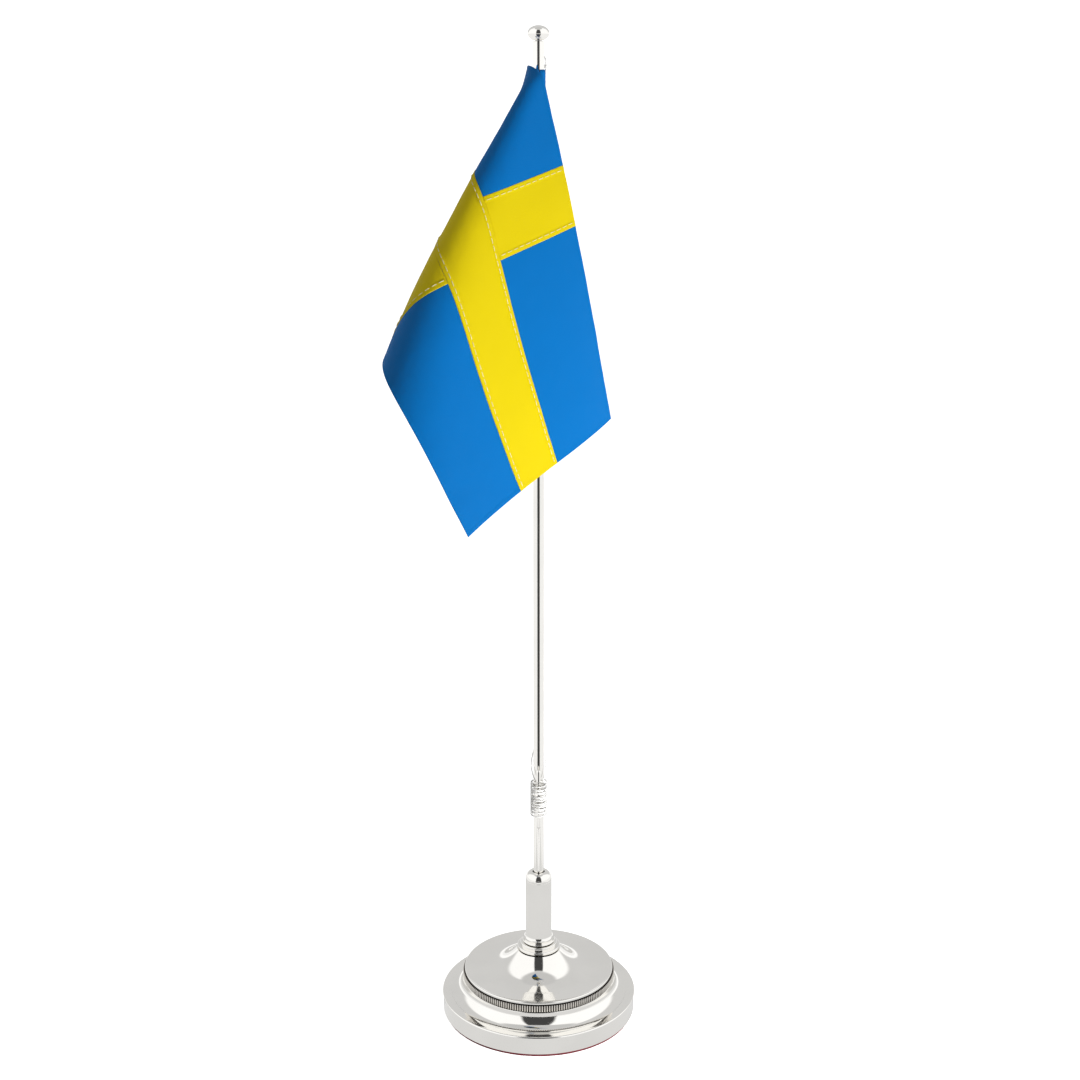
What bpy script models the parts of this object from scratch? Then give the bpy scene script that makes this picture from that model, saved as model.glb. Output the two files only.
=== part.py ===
"""Desk flag stand: a weighted silver-plated base, a mast in a socket, and a small sewn flag on a halyard.

Metres, +Z up. The origin is the centre of the felt's underside, the mast stands on the Z axis, and the
cleat faces -Y. The flag is a sheet that hangs from its upper hoist corner and folds once.
"""

import math

import bmesh
import bpy
from mathutils import Matrix, Quaternion, Vector

# ---- Driving dimensions -------------------------------------------------------------------------
GAP = 0.0003  # between pieces that touch
TURN_STEPS = 32
WIDE_TURN_STEPS = 48

BASE_RADIUS = 0.0425
FELT_INSET = 0.0009
FELT_THICKNESS = 0.0009
SHELL_WALL = 0.0007
RIM_HEIGHT = 0.0083
RIM_BEAD = 0.0006
RIM_INSET = 0.0003
LEDGE_RADIUS = 0.0330
LEDGE_RISE = 0.0062
COVE_RADIUS = 0.0056
BOARD_THICKNESS = 0.0021

RING_RADIUS = 0.0334
RING_HEIGHT = 0.0029
RING_WIDTH = 0.0034
FLUTES = 196
FLUTE_DEPTH = 0.0004

PLATE_RADIUS = 0.0326
PLATE_THICKNESS = 0.0011
PLATE_BEAD = 0.00045
PLATE_SINK = 0.0003  # its flat floor, below the bead

FLARE_RADIUS = 0.0260  # where the plate starts to rise
FLARE_RISE = 0.0090
FLARE_POWER = 2.5
NECK_RADIUS = 0.0095
BOSS_FIT = 0.0012  # boss inside the neck
BOSS_FOOT_WIDTH = 0.0032
BOSS_FOOT_HEIGHT = 0.0022
COLLAR_RADIUS = 0.0093
COLLAR_HEIGHT = 0.0015
COLLAR_STEP_RADIUS = 0.0080
COLLAR_STEP_HEIGHT = 0.0015

SOCKET_RADIUS = 0.0057
SOCKET_WALL = 0.0008
SOCKET_LENGTH = 0.0293
SOCKET_FOOT_RADIUS = 0.0071
SOCKET_FOOT_HEIGHT = 0.0032
CAP_HEIGHT = 0.0036
CAP_LIP = 0.0004
LINER_FIT = 0.00035  # mast in liner, all round

MAST_RADIUS = 0.00225
MAST_WALL = 0.0006
MAST_LENGTH = 0.3706
FOOT_FLANGE = 0.0008
FOOT_PLUG = 0.0085

SCREW_RADIUS = 0.0024
SCREW_FIT = 0.0005
SCREW_HEAD_RADIUS = 0.0045
SCREW_HEAD_HEIGHT = 0.0026
WASHER_RADIUS = 0.0070
WASHER_THICKNESS = 0.0009
PLUG_HEIGHT = 0.0090

FINIAL_RADIUS = 0.0043
FINIAL_HEIGHT = 0.0056
STUD_FIT = 0.00035  # stud in the mast's bore
STUD_IN_FINIAL = 0.0026

CLEAT_HEIGHT = 0.0880  # lower tip of the cleat above the table
CLEAT_LENGTH = 0.0270
HORN_RADIUS = 0.0010
CLEAT_MIDDLE_RADIUS = 0.0020
CLEAT_MIDDLE_LENGTH = 0.0070
RIVET_RADIUS = 0.0008
RIVET_HEAD_RADIUS = 0.0015
RIVET_HEAD = 0.0006

CORD_RADIUS = 0.00025
WINDING_LENGTH = 0.0150
WINDING_THICKNESS = 0.0007
WINDING_FIT = 0.00035

EYE_RING = 0.0011
EYE_WIRE = 0.0003
EYE_BELOW_TOP = 0.0046
EYE_STEM = 0.0005
KNOT_HEIGHT = 0.0016
KNOT_WALL = 0.0003
KNOT_FIT = 0.00016
CORD_BEHIND = math.radians(27)  # where the hoisting part of the cord runs, round the mast from +X

TAPE_THICKNESS = 0.0004
TAPE_FIT = 0.0004
TAPE_FROM = math.radians(-80)
TAPE_TO = math.radians(-22)

FLAG_LENGTH = 0.151
FLAG_HEIGHT = 0.0975
BAND_WIDTH = 0.0236
HOIST_PANEL = 0.0488
CLOTH_THICKNESS = 0.0006
SEAM_GAP = 0.0003

# ---- Heights that follow from them ----------------------------------------------------------------
SHELL_BOTTOM = FELT_THICKNESS + GAP
LOW_PLATE = SHELL_BOTTOM + RIM_HEIGHT
LEDGE = LOW_PLATE + LEDGE_RISE
RING_BOTTOM = LEDGE + GAP
RING_TOP = RING_BOTTOM + RING_HEIGHT
PLATE_BOTTOM = RING_TOP + GAP
PLATE_TOP = PLATE_BOTTOM + PLATE_THICKNESS
PLATE_FLOOR = PLATE_TOP - PLATE_SINK
PLATE_WALL = PLATE_FLOOR - PLATE_BOTTOM
NECK_TOP = PLATE_FLOOR + FLARE_RISE
BOSS_TOP = NECK_TOP - PLATE_WALL - GAP
COLLAR_BOTTOM = NECK_TOP + GAP
COLLAR_TOP = COLLAR_BOTTOM + COLLAR_HEIGHT + COLLAR_STEP_HEIGHT
SOCKET_BOTTOM = COLLAR_TOP + GAP
SOCKET_TOP = SOCKET_BOTTOM + SOCKET_LENGTH
SOCKET_BORE = SOCKET_RADIUS - SOCKET_WALL
PLUG_TOP = SOCKET_BOTTOM + PLUG_HEIGHT
LINER_BOTTOM = PLUG_TOP + GAP
LINER_BORE = MAST_RADIUS + LINER_FIT
FOOT_BOTTOM = LINER_BOTTOM + GAP
MAST_BOTTOM = FOOT_BOTTOM + FOOT_FLANGE + GAP
MAST_TOP = MAST_BOTTOM + MAST_LENGTH
MAST_BORE = MAST_RADIUS - MAST_WALL
FINIAL_BOTTOM = MAST_TOP + GAP
STUD_RADIUS = MAST_BORE - STUD_FIT
SCREW_BORE = SCREW_RADIUS + SCREW_FIT

CLEAT_MIDDLE = CLEAT_HEIGHT + CLEAT_LENGTH / 2
CLEAT_Y = -(MAST_RADIUS + GAP + CLEAT_MIDDLE_RADIUS)
CLEAT_FRONT = CLEAT_Y - CLEAT_MIDDLE_RADIUS
WINDING_BOTTOM = CLEAT_MIDDLE - WINDING_LENGTH / 2
WINDING_TOP = CLEAT_MIDDLE + WINDING_LENGTH / 2

CORD_OFFSET = MAST_RADIUS + 0.0001 + KNOT_WALL + KNOT_FIT + CORD_RADIUS + 0.00006
CORD_X = CORD_OFFSET * math.cos(CORD_BEHIND)
CORD_Y = CORD_OFFSET * math.sin(CORD_BEHIND)
EYE_HEIGHT = MAST_TOP - EYE_BELOW_TOP
EYE_Y = MAST_RADIUS + GAP + EYE_RING + EYE_WIRE
KNOT_TOP_BOTTOM = EYE_HEIGHT - 0.0056
TAPE_TOP = KNOT_TOP_BOTTOM - GAP
TAPE_BOTTOM = TAPE_TOP - FLAG_HEIGHT
TAPE_RADIUS = MAST_RADIUS + TAPE_FIT
TAPE_MIDDLE = TAPE_RADIUS + TAPE_THICKNESS / 2
HINGE = (TAPE_MIDDLE * math.cos(TAPE_FROM), TAPE_MIDDLE * math.sin(TAPE_FROM))
HOIST_LINE = (HINGE[0] - GAP, HINGE[1] - CLOTH_THICKNESS / 4)


# ---- Helpers -------------------------------------------------------------------------------------
def clear_scene():
    for obj in list(bpy.data.objects):
        bpy.data.objects.remove(obj, do_unlink=True)


clear_scene()
STAND = bpy.data.collections.new("desk_flag_stand")
CUTTERS = bpy.data.collections.new("cutters")
bpy.context.scene.collection.children.link(STAND)
bpy.context.scene.collection.children.link(CUTTERS)


def material(name, colour, roughness, metallic):
    made = bpy.data.materials.new(name)
    made.use_nodes = True
    shader = made.node_tree.nodes["Principled BSDF"]
    shader.inputs["Base Color"].default_value = (*colour, 1)
    shader.inputs["Roughness"].default_value = roughness
    shader.inputs["Metallic"].default_value = metallic
    return made


SILVER = material("silver_plate", (0.90, 0.89, 0.87), 0.08, 1.0)
STEEL = material("zinc_plated_steel", (0.62, 0.63, 0.65), 0.35, 1.0)
IRON = material("cast_iron", (0.12, 0.12, 0.13), 0.75, 0.6)
BOARD = material("hardboard", (0.32, 0.20, 0.11), 0.90, 0.0)
NYLON = material("nylon", (0.85, 0.84, 0.80), 0.50, 0.0)
FELT = material("dark_red_felt", (0.20, 0.02, 0.03), 1.00, 0.0)
CORD = material("white_cord", (0.86, 0.86, 0.84), 0.80, 0.0)
BLUE = material("blue_cloth", (0.00, 0.16, 0.56), 0.70, 0.0)
YELLOW = material("yellow_cloth", (0.93, 0.72, 0.01), 0.70, 0.0)


def empty(name, place, parent=None):
    made = bpy.data.objects.new(name, None)
    made.location = place
    made.empty_display_size = 0.01
    STAND.objects.link(made)
    attach(made, parent)
    return made


def attach(obj, parent):
    """Parents an object that is placed in world coordinates to an empty that is neither turned nor scaled."""
    if parent is not None:
        obj.parent = parent
        obj.location = Vector(obj.location) - world_place(parent)


def world_place(obj):
    place = Vector(obj.location)
    while obj.parent is not None:
        obj = obj.parent
        place += Vector(obj.location)
    return place


def as_object(name, mesh, look, parent=None, place=(0, 0, 0), collection=STAND):
    made = bpy.data.objects.new(name, mesh)
    made.location = place
    if look is not None:
        mesh.materials.append(look)
    collection.objects.link(made)
    attach(made, parent)
    return made


def smooth(obj, angle=40):
    obj.data.shade_smooth()
    obj.data.set_sharp_from_angle(angle=math.radians(angle))


def turned(name, profile, look, parent=None, place=(0, 0, 0), closed=False, steps=TURN_STEPS):
    """A turned piece. The profile's (radius, height) points run down its outer side."""
    mesh = bpy.data.meshes.new(name)
    points = [(radius, 0, height) for radius, height in profile]
    edges = [(i, i + 1) for i in range(len(points) - 1)]
    if closed:
        edges.append((len(points) - 1, 0))
    mesh.from_pydata(points, edges, [])
    made = as_object(name, mesh, look, parent, place)
    screw = made.modifiers.new("turn", "SCREW")
    screw.steps = steps
    screw.render_steps = steps
    screw.use_merge_vertices = True
    screw.merge_threshold = 0.00001
    screw.use_smooth_shade = True
    return made


def ring_profile(inner, outer, low, high):
    return [(outer, high), (outer, low), (inner, low), (inner, high)]


def arc(centre, radius, start, end, steps):
    """Points of a round corner in a profile, its angles in degrees from outwards, upwards positive."""
    points = []
    for i in range(steps + 1):
        angle = math.radians(start + (end - start) * i / steps)
        points.append((centre[0] + radius * math.cos(angle), centre[1] + radius * math.sin(angle)))
    return points


def cylinder_mesh(name, radius, depth, segments=24):
    mesh = bpy.data.meshes.new(name)
    work = bmesh.new()
    bmesh.ops.create_cone(
        work, cap_ends=True, segments=segments, radius1=radius, radius2=radius, depth=depth
    )
    work.to_mesh(mesh)
    work.free()
    return mesh


def cutter(name, mesh, place, turn=None):
    made = as_object(name, mesh, None, None, place, CUTTERS)
    made.hide_render = True
    made.display_type = "WIRE"
    if turn is not None:
        made.rotation_euler = turn
    return made


def boolean(obj, other, operation="DIFFERENCE"):
    cut = obj.modifiers.new("cut_" + other.name, "BOOLEAN")
    cut.operation = operation
    cut.object = other
    cut.solver = "EXACT"


ALONG_Y = (math.pi / 2, 0, 0)


# ---- Base ----------------------------------------------------------------------------------------
def make_base(foot):
    felt_radius = BASE_RADIUS - FELT_INSET
    felt = as_object(
        "felt_pad",
        cylinder_mesh("felt_pad", felt_radius, FELT_THICKNESS, WIDE_TURN_STEPS),
        FELT,
        foot,
        (0, 0, FELT_THICKNESS / 2),
    )
    smooth(felt)

    # The shell's outer surface, from the hole under the ring down to the rim.
    cove_centre = (LEDGE_RADIUS + COVE_RADIUS, LOW_PLATE + COVE_RADIUS)
    profile = [(SCREW_BORE, LEDGE), (LEDGE_RADIUS, LEDGE)]
    profile += arc(cove_centre, COVE_RADIUS, 180, 270, 6)
    bead_centre = (BASE_RADIUS - RIM_BEAD, LOW_PLATE - RIM_BEAD)
    profile += arc(bead_centre, RIM_BEAD, 90, 0, 3)
    rim = BASE_RADIUS - RIM_INSET
    profile += [(rim, LOW_PLATE - 2 * RIM_BEAD), (rim, SHELL_BOTTOM)]
    # Its inner surface, back to the hole.
    inner_rim = rim - SHELL_WALL
    inner_ledge = LEDGE_RADIUS - SHELL_WALL
    profile += [(inner_rim, SHELL_BOTTOM), (inner_rim, LOW_PLATE - SHELL_WALL)]
    profile += [(inner_ledge, LOW_PLATE - SHELL_WALL), (inner_ledge, LEDGE - SHELL_WALL)]
    profile += [(SCREW_BORE, LEDGE - SHELL_WALL)]
    turned("base_shell", profile, SILVER, foot, closed=True, steps=WIDE_TURN_STEPS)

    inside = inner_rim - GAP
    head_hole = WASHER_RADIUS + GAP
    board_top = SHELL_BOTTOM + BOARD_THICKNESS
    turned(
        "base_board",
        ring_profile(head_hole, inside, SHELL_BOTTOM, board_top),
        BOARD,
        foot,
        closed=True,
        steps=WIDE_TURN_STEPS,
    )

    weight_bottom = board_top + GAP
    low_top = LOW_PLATE - SHELL_WALL - GAP
    high_top = LEDGE - SHELL_WALL - GAP
    high_radius = LEDGE_RADIUS - SHELL_WALL - 2 * GAP
    recess_top = SHELL_BOTTOM + SCREW_HEAD_HEIGHT + WASHER_THICKNESS + 3 * GAP
    profile = [
        (SCREW_BORE, high_top),
        (high_radius, high_top),
        (high_radius, low_top),
        (inside, low_top),
        (inside, weight_bottom),
        (head_hole, weight_bottom),
        (head_hole, recess_top),
        (SCREW_BORE, recess_top),
    ]
    turned("base_weight", profile, IRON, foot, closed=True, steps=WIDE_TURN_STEPS)

    spacer_radius = RING_RADIUS - RING_WIDTH - GAP
    turned(
        "plate_spacer",
        ring_profile(SCREW_BORE, spacer_radius, RING_BOTTOM, RING_TOP),
        BOARD,
        foot,
        closed=True,
    )
    make_milled_ring(foot)
    make_upper_plate(foot)
    make_boss(foot)
    make_socket(foot)
    make_clamp(foot, recess_top)


def make_milled_ring(foot):
    """The ring with upright flutes: a cylinder whose every second corner is moved in, bored out."""
    mesh = cylinder_mesh("milled_ring", RING_RADIUS, RING_HEIGHT, 2 * FLUTES)
    for i, vertex in enumerate(mesh.vertices):
        number = round(math.atan2(vertex.co.y, vertex.co.x) / (math.pi / FLUTES))
        if number % 2:
            vertex.co.x *= 1 - FLUTE_DEPTH / RING_RADIUS
            vertex.co.y *= 1 - FLUTE_DEPTH / RING_RADIUS
    middle = (0, 0, (RING_BOTTOM + RING_TOP) / 2)
    ring = as_object("milled_ring", mesh, SILVER, foot, middle)
    bore = cylinder_mesh("ring_bore", RING_RADIUS - RING_WIDTH, 2 * RING_HEIGHT, WIDE_TURN_STEPS)
    boolean(ring, cutter("ring_bore", bore, middle))


def make_upper_plate(foot):
    """One spun sheet: a beaded edge, a flat floor, and a flare that rises to the neck under the collar."""
    flare = []
    for i in range(11):
        share = i / 10
        radius = NECK_RADIUS + (FLARE_RADIUS - NECK_RADIUS) * share
        flare.append((radius, PLATE_FLOOR + FLARE_RISE * (1 - share) ** FLARE_POWER))
    bead = (PLATE_RADIUS - PLATE_BEAD, PLATE_TOP - PLATE_BEAD)
    profile = [(SCREW_BORE, NECK_TOP)] + flare + [(PLATE_RADIUS - 3 * PLATE_BEAD, PLATE_FLOOR)]
    profile += arc(bead, PLATE_BEAD, 100, 0, 3) + [(PLATE_RADIUS, PLATE_BOTTOM)]
    profile += [(radius, height - PLATE_WALL) for radius, height in reversed(flare)]
    profile += [(SCREW_BORE, NECK_TOP - PLATE_WALL)]
    turned("upper_plate", profile, SILVER, foot, closed=True, steps=WIDE_TURN_STEPS)


def make_boss(foot):
    """The core that carries the neck, and the stepped collar that stands on it."""
    core = NECK_RADIUS - BOSS_FIT
    core_foot = core + BOSS_FOOT_WIDTH
    shoulder = PLATE_BOTTOM + BOSS_FOOT_HEIGHT
    profile = [(SCREW_BORE, BOSS_TOP), (core, BOSS_TOP), (core, shoulder)]
    profile += [(core_foot, shoulder), (core_foot, PLATE_BOTTOM), (SCREW_BORE, PLATE_BOTTOM)]
    turned("boss", profile, STEEL, foot, closed=True)

    step = COLLAR_BOTTOM + COLLAR_HEIGHT
    edge = 0.0004
    profile = [(SCREW_BORE, COLLAR_TOP), (COLLAR_STEP_RADIUS - edge, COLLAR_TOP)]
    profile += [(COLLAR_STEP_RADIUS, COLLAR_TOP - edge), (COLLAR_STEP_RADIUS, step)]
    profile += [(COLLAR_RADIUS - edge, step)]
    profile += [(COLLAR_RADIUS, step - edge), (COLLAR_RADIUS, COLLAR_BOTTOM + edge)]
    profile += [(COLLAR_RADIUS - edge, COLLAR_BOTTOM), (SCREW_BORE, COLLAR_BOTTOM)]
    turned("collar_ring", profile, SILVER, foot, closed=True)


def make_socket(foot):
    """The socket tube, with a small flared foot, and the domed cap that closes it round the mast."""
    flare = SOCKET_FOOT_RADIUS - SOCKET_RADIUS
    cove = arc((SOCKET_FOOT_RADIUS, SOCKET_BOTTOM + SOCKET_FOOT_HEIGHT), flare, 180, 260, 4)
    profile = [(SOCKET_RADIUS, SOCKET_TOP)] + cove
    profile += [(SOCKET_FOOT_RADIUS, SOCKET_BOTTOM + 0.0008), (SOCKET_FOOT_RADIUS, SOCKET_BOTTOM)]
    profile += [(SOCKET_BORE, SOCKET_BOTTOM), (SOCKET_BORE, SOCKET_TOP)]
    turned("socket_tube", profile, SILVER, foot, closed=True)

    low = SOCKET_TOP + GAP
    dome = []
    for i in range(6):
        share = math.radians(90 * i / 5)
        radius = LINER_BORE + CAP_LIP + (SOCKET_RADIUS - LINER_BORE - CAP_LIP) * math.sin(share)
        dome.append((radius, low + 0.0004 + (CAP_HEIGHT - 0.0004) * math.cos(share)))
    profile = [(LINER_BORE, low + CAP_HEIGHT)] + dome + [(SOCKET_RADIUS, low), (LINER_BORE, low)]
    turned("tube_cap", profile, SILVER, foot, closed=True)


def make_clamp(foot, recess_top):
    head_bottom = SHELL_BOTTOM + GAP
    head_top = head_bottom + SCREW_HEAD_HEIGHT
    shank_top = PLUG_TOP - 0.0012
    profile = [(0, shank_top), (SCREW_RADIUS, shank_top), (SCREW_RADIUS, head_top)]
    profile += [(SCREW_HEAD_RADIUS, head_top), (SCREW_HEAD_RADIUS, head_bottom), (0, head_bottom)]
    turned("clamp_screw", profile, STEEL, foot)
    washer_bottom = recess_top - GAP - WASHER_THICKNESS
    turned(
        "clamp_washer",
        ring_profile(SCREW_BORE, WASHER_RADIUS, washer_bottom, recess_top - GAP),
        STEEL,
        foot,
        closed=True,
    )
    turned(
        "socket_plug",
        ring_profile(SCREW_BORE, SOCKET_BORE - GAP, SOCKET_BOTTOM + GAP, PLUG_TOP),
        STEEL,
        foot,
        closed=True,
    )


# ---- Mast ----------------------------------------------------------------------------------------
def make_mast(liner, mast):
    turned(
        "socket_liner",
        ring_profile(LINER_BORE, SOCKET_BORE - GAP, LINER_BOTTOM, SOCKET_TOP),
        NYLON,
        liner,
        closed=True,
    )
    tube = turned(
        "mast",
        ring_profile(MAST_BORE, MAST_RADIUS, MAST_BOTTOM, MAST_TOP),
        SILVER,
        mast,
        closed=True,
        steps=28,
    )
    rivet_hole = cylinder_mesh("rivet_hole", RIVET_RADIUS + GAP, 2 * MAST_RADIUS, 16)
    boolean(tube, cutter("rivet_hole", rivet_hole, (0, -MAST_RADIUS, CLEAT_MIDDLE), ALONG_Y))
    stem_hole = cylinder_mesh("stem_hole", EYE_STEM + GAP, 2 * MAST_RADIUS, 16)
    boolean(tube, cutter("stem_hole", stem_hole, (0, MAST_RADIUS, EYE_HEIGHT), ALONG_Y))

    plug_radius = MAST_BORE - GAP
    flange_top = FOOT_BOTTOM + FOOT_FLANGE
    profile = [(0, FOOT_BOTTOM + FOOT_PLUG), (plug_radius, FOOT_BOTTOM + FOOT_PLUG)]
    profile += [(plug_radius, flange_top), (MAST_RADIUS, flange_top)]
    profile += [(MAST_RADIUS, FOOT_BOTTOM + 0.0003), (MAST_RADIUS - 0.0003, FOOT_BOTTOM), (0, FOOT_BOTTOM)]
    turned("mast_foot", profile, STEEL, mast)

    # The finial, a flattened ball with a flat underside, on a stud.
    hole_top = FINIAL_BOTTOM + STUD_IN_FINIAL + GAP
    neck = MAST_RADIUS + 0.0002
    belly = FINIAL_BOTTOM + 0.46 * FINIAL_HEIGHT
    low_start = math.asin((belly - FINIAL_BOTTOM) / (0.52 * FINIAL_HEIGHT))
    profile = []
    for i in range(12):
        angle = math.pi / 2 - (math.pi / 2 + low_start) * i / 11
        squat = 0.54 if angle > 0 else 0.52
        profile.append((FINIAL_RADIUS * math.cos(angle), belly + squat * FINIAL_HEIGHT * math.sin(angle)))
    profile[0] = (0, belly + 0.54 * FINIAL_HEIGHT)
    profile[-1] = (neck, FINIAL_BOTTOM)
    profile += [(STUD_RADIUS + GAP, FINIAL_BOTTOM), (STUD_RADIUS + GAP, hole_top), (0, hole_top)]
    turned("finial", profile, SILVER, mast, steps=28)
    profile = [(0, FINIAL_BOTTOM + STUD_IN_FINIAL), (STUD_RADIUS, FINIAL_BOTTOM + STUD_IN_FINIAL)]
    stud_bottom = EYE_HEIGHT + EYE_STEM + 2 * GAP
    profile += [(STUD_RADIUS, stud_bottom), (0, stud_bottom)]
    turned("finial_stud", profile, STEEL, mast, steps=20)

    make_cleat(mast)
    make_halyard_eye(mast)
    make_halyard(mast)


def make_cleat(mast):
    """A turned bar with two round-ended horns, thicker in the middle, where a rivet holds it to the mast."""
    top = CLEAT_HEIGHT + CLEAT_LENGTH
    half = CLEAT_MIDDLE_LENGTH / 2
    profile = arc((0, top - HORN_RADIUS), HORN_RADIUS, 90, 0, 4)
    profile[0] = (0, top)
    for i in range(9):
        share = i / 8
        swell = (1 - math.cos(2 * math.pi * share)) / 2
        radius = HORN_RADIUS + (CLEAT_MIDDLE_RADIUS - HORN_RADIUS) * min(1, 1.35 * swell)
        profile.append((radius, CLEAT_MIDDLE + 1.6 * half - 3.2 * half * share))
    profile += arc((0, CLEAT_HEIGHT + HORN_RADIUS), HORN_RADIUS, 0, -90, 4)
    profile[-1] = (0, CLEAT_HEIGHT)
    bar = turned("cleat_bar", profile, SILVER, mast, (0, CLEAT_Y, 0), steps=16)
    hole = cylinder_mesh("cleat_hole", RIVET_RADIUS + GAP, 3 * CLEAT_MIDDLE_RADIUS, 16)
    boolean(bar, cutter("cleat_hole", hole, (0, CLEAT_Y, CLEAT_MIDDLE), ALONG_Y))

    head_back = CLEAT_FRONT - GAP
    inner_end = -MAST_BORE * 0.5
    profile = [(0, -head_back + RIVET_HEAD), (RIVET_HEAD_RADIUS * 0.6, -head_back + RIVET_HEAD)]
    profile += [(RIVET_HEAD_RADIUS, -head_back + 0.0002), (RIVET_HEAD_RADIUS, -head_back)]
    profile += [(RIVET_RADIUS, -head_back), (RIVET_RADIUS, -inner_end), (0, -inner_end)]
    rivet = turned("cleat_rivet", profile, STEEL, mast, (0, 0, CLEAT_MIDDLE), steps=20)
    rivet.rotation_euler = ALONG_Y


def make_halyard_eye(mast):
    """A ring on a stem, screwed into the back of the mast. The cord runs through it from side to side."""
    ring = bpy.data.meshes.new("halyard_eye")
    work = bmesh.new()
    steps = 20
    sides = 8
    rows = []
    for i in range(steps):
        around = 2 * math.pi * i / steps
        row = []
        for j in range(sides):
            tube = 2 * math.pi * j / sides
            reach = EYE_RING + EYE_WIRE * math.cos(tube)
            point = (EYE_WIRE * math.sin(tube), reach * math.cos(around), reach * math.sin(around))
            row.append(work.verts.new(point))
        rows.append(row)
    for i in range(steps):
        for j in range(sides):
            this, after = rows[i], rows[(i + 1) % steps]
            nxt = (j + 1) % sides
            work.faces.new((this[j], after[j], after[nxt], this[nxt]))
    bmesh.ops.recalc_face_normals(work, faces=work.faces)
    work.to_mesh(ring)
    work.free()
    eye = as_object("halyard_eye", ring, SILVER, mast, (0, EYE_Y, EYE_HEIGHT))
    smooth(eye)
    inner_end = MAST_BORE * 0.4
    outer_end = MAST_RADIUS + GAP + 1.2 * EYE_WIRE
    stem = cylinder_mesh("eye_stem", EYE_STEM, outer_end - inner_end, 12)
    joined = cutter("eye_stem", stem, (0, (inner_end + outer_end) / 2, EYE_HEIGHT), ALONG_Y)
    boolean(eye, joined, "UNION")


def catmull(points, per_span):
    """A smooth curve through the points, with per_span[i] steps in span i."""
    points = [Vector(point) for point in points]
    ends = [2 * points[0] - points[1]] + points + [2 * points[-1] - points[-2]]
    out = [points[0]]
    for i in range(len(points) - 1):
        a, b, c, d = ends[i : i + 4]
        t1 = (b - a).length ** 0.5
        t2 = t1 + (c - b).length ** 0.5
        t3 = t2 + (d - c).length ** 0.5
        for step in range(1, per_span[i] + 1):
            t = t1 + (t2 - t1) * step / per_span[i]
            ab = a + (b - a) * t / t1
            bc = b + (c - b) * (t - t1) / (t2 - t1)
            cd = c + (d - c) * (t - t2) / (t3 - t2)
            abc = ab + (bc - ab) * t / t2
            bcd = bc + (cd - bc) * (t - t1) / (t3 - t1)
            out.append(abc + (bcd - abc) * (t - t1) / (t2 - t1))
    return out


HALYARD_ROUTE = [
    (-0.0014, -0.0034, WINDING_TOP + 0.0006),
    (-0.0026, -0.0022, WINDING_TOP + 0.0034),
    (-0.0031, 0.0004, WINDING_TOP + 0.0075),
    (-0.0020, 0.0026, WINDING_TOP + 0.0130),
    (-0.0012, 0.0029, WINDING_TOP + 0.0190),
    (-0.0012, 0.0029, WINDING_TOP + 0.0250),
    (-0.0012, 0.0029, EYE_HEIGHT - 0.0200),
    (-0.0012, 0.0029, EYE_HEIGHT - 0.0100),
    (-0.0014, 0.0033, EYE_HEIGHT - 0.0030),
    (0.0, EYE_Y, EYE_HEIGHT + 0.0002),
    (0.0020, 0.0030, EYE_HEIGHT - 0.0008),
    (CORD_X, CORD_Y, EYE_HEIGHT - 0.0026),
    (CORD_X, CORD_Y, EYE_HEIGHT - 0.0038),
    (CORD_X, CORD_Y, WINDING_TOP + 0.0200),
    (CORD_X, CORD_Y, WINDING_TOP + 0.0140),
    (0.0030, -0.0004, WINDING_TOP + 0.0050),
    (0.0020, -0.0030, WINDING_TOP + 0.0006),
]
HALYARD_STEPS = [2, 2, 3, 3, 2, 8, 3, 3, 5, 4, 3, 1, 8, 2, 3, 3]


def make_halyard(mast):
    """The cord: one loop from the cleat up behind the mast, through the eye, and down again."""
    curve = bpy.data.curves.new("halyard", "CURVE")
    curve.dimensions = "3D"
    curve.bevel_depth = CORD_RADIUS
    curve.bevel_resolution = 2
    curve.use_fill_caps = True
    spline = curve.splines.new("POLY")
    points = catmull(HALYARD_ROUTE, HALYARD_STEPS)
    spline.points.add(len(points) - 1)
    for point, place in zip(spline.points, points):
        point.co = (*place, 1)
    cord = bpy.data.objects.new("halyard", curve)
    curve.materials.append(CORD)
    STAND.objects.link(cord)
    attach(cord, mast)

    # The turns on the cleat, as the sleeve that they fill round mast and cleat.
    inner = oval_outline(WINDING_FIT)
    outer = oval_outline(WINDING_FIT + WINDING_THICKNESS)
    flat = bpy.data.curves.new("cleat_winding", "CURVE")
    flat.dimensions = "2D"
    flat.fill_mode = "BOTH"
    flat.extrude = WINDING_LENGTH / 2
    for outline in (outer, inner):
        ring = flat.splines.new("POLY")
        ring.points.add(len(outline) - 1)
        for point, (x, y) in zip(ring.points, outline):
            point.co = (x, y, 0, 1)
        ring.use_cyclic_u = True
    flat.materials.append(CORD)
    winding = bpy.data.objects.new("cleat_winding", flat)
    winding.location = (0, 0, CLEAT_MIDDLE)
    STAND.objects.link(winding)
    attach(winding, mast)


def oval_outline(clear):
    """Round the mast at the back and round the rivet's head at the front, with straight sides."""
    back = MAST_RADIUS + clear
    front_y = CLEAT_FRONT - GAP - RIVET_HEAD - clear + back
    points = []
    for i in range(13):
        angle = math.pi * i / 12
        points.append((back * math.cos(angle), back * math.sin(angle)))
    for i in range(13):
        angle = math.pi + math.pi * i / 12
        points.append((back * math.cos(angle), front_y + back * math.sin(angle)))
    return points


# ---- Flag ----------------------------------------------------------------------------------------
APEX_OFFSET = (0.008405, -0.003193, 0.0189)  # from the top of the hinge line
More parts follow.
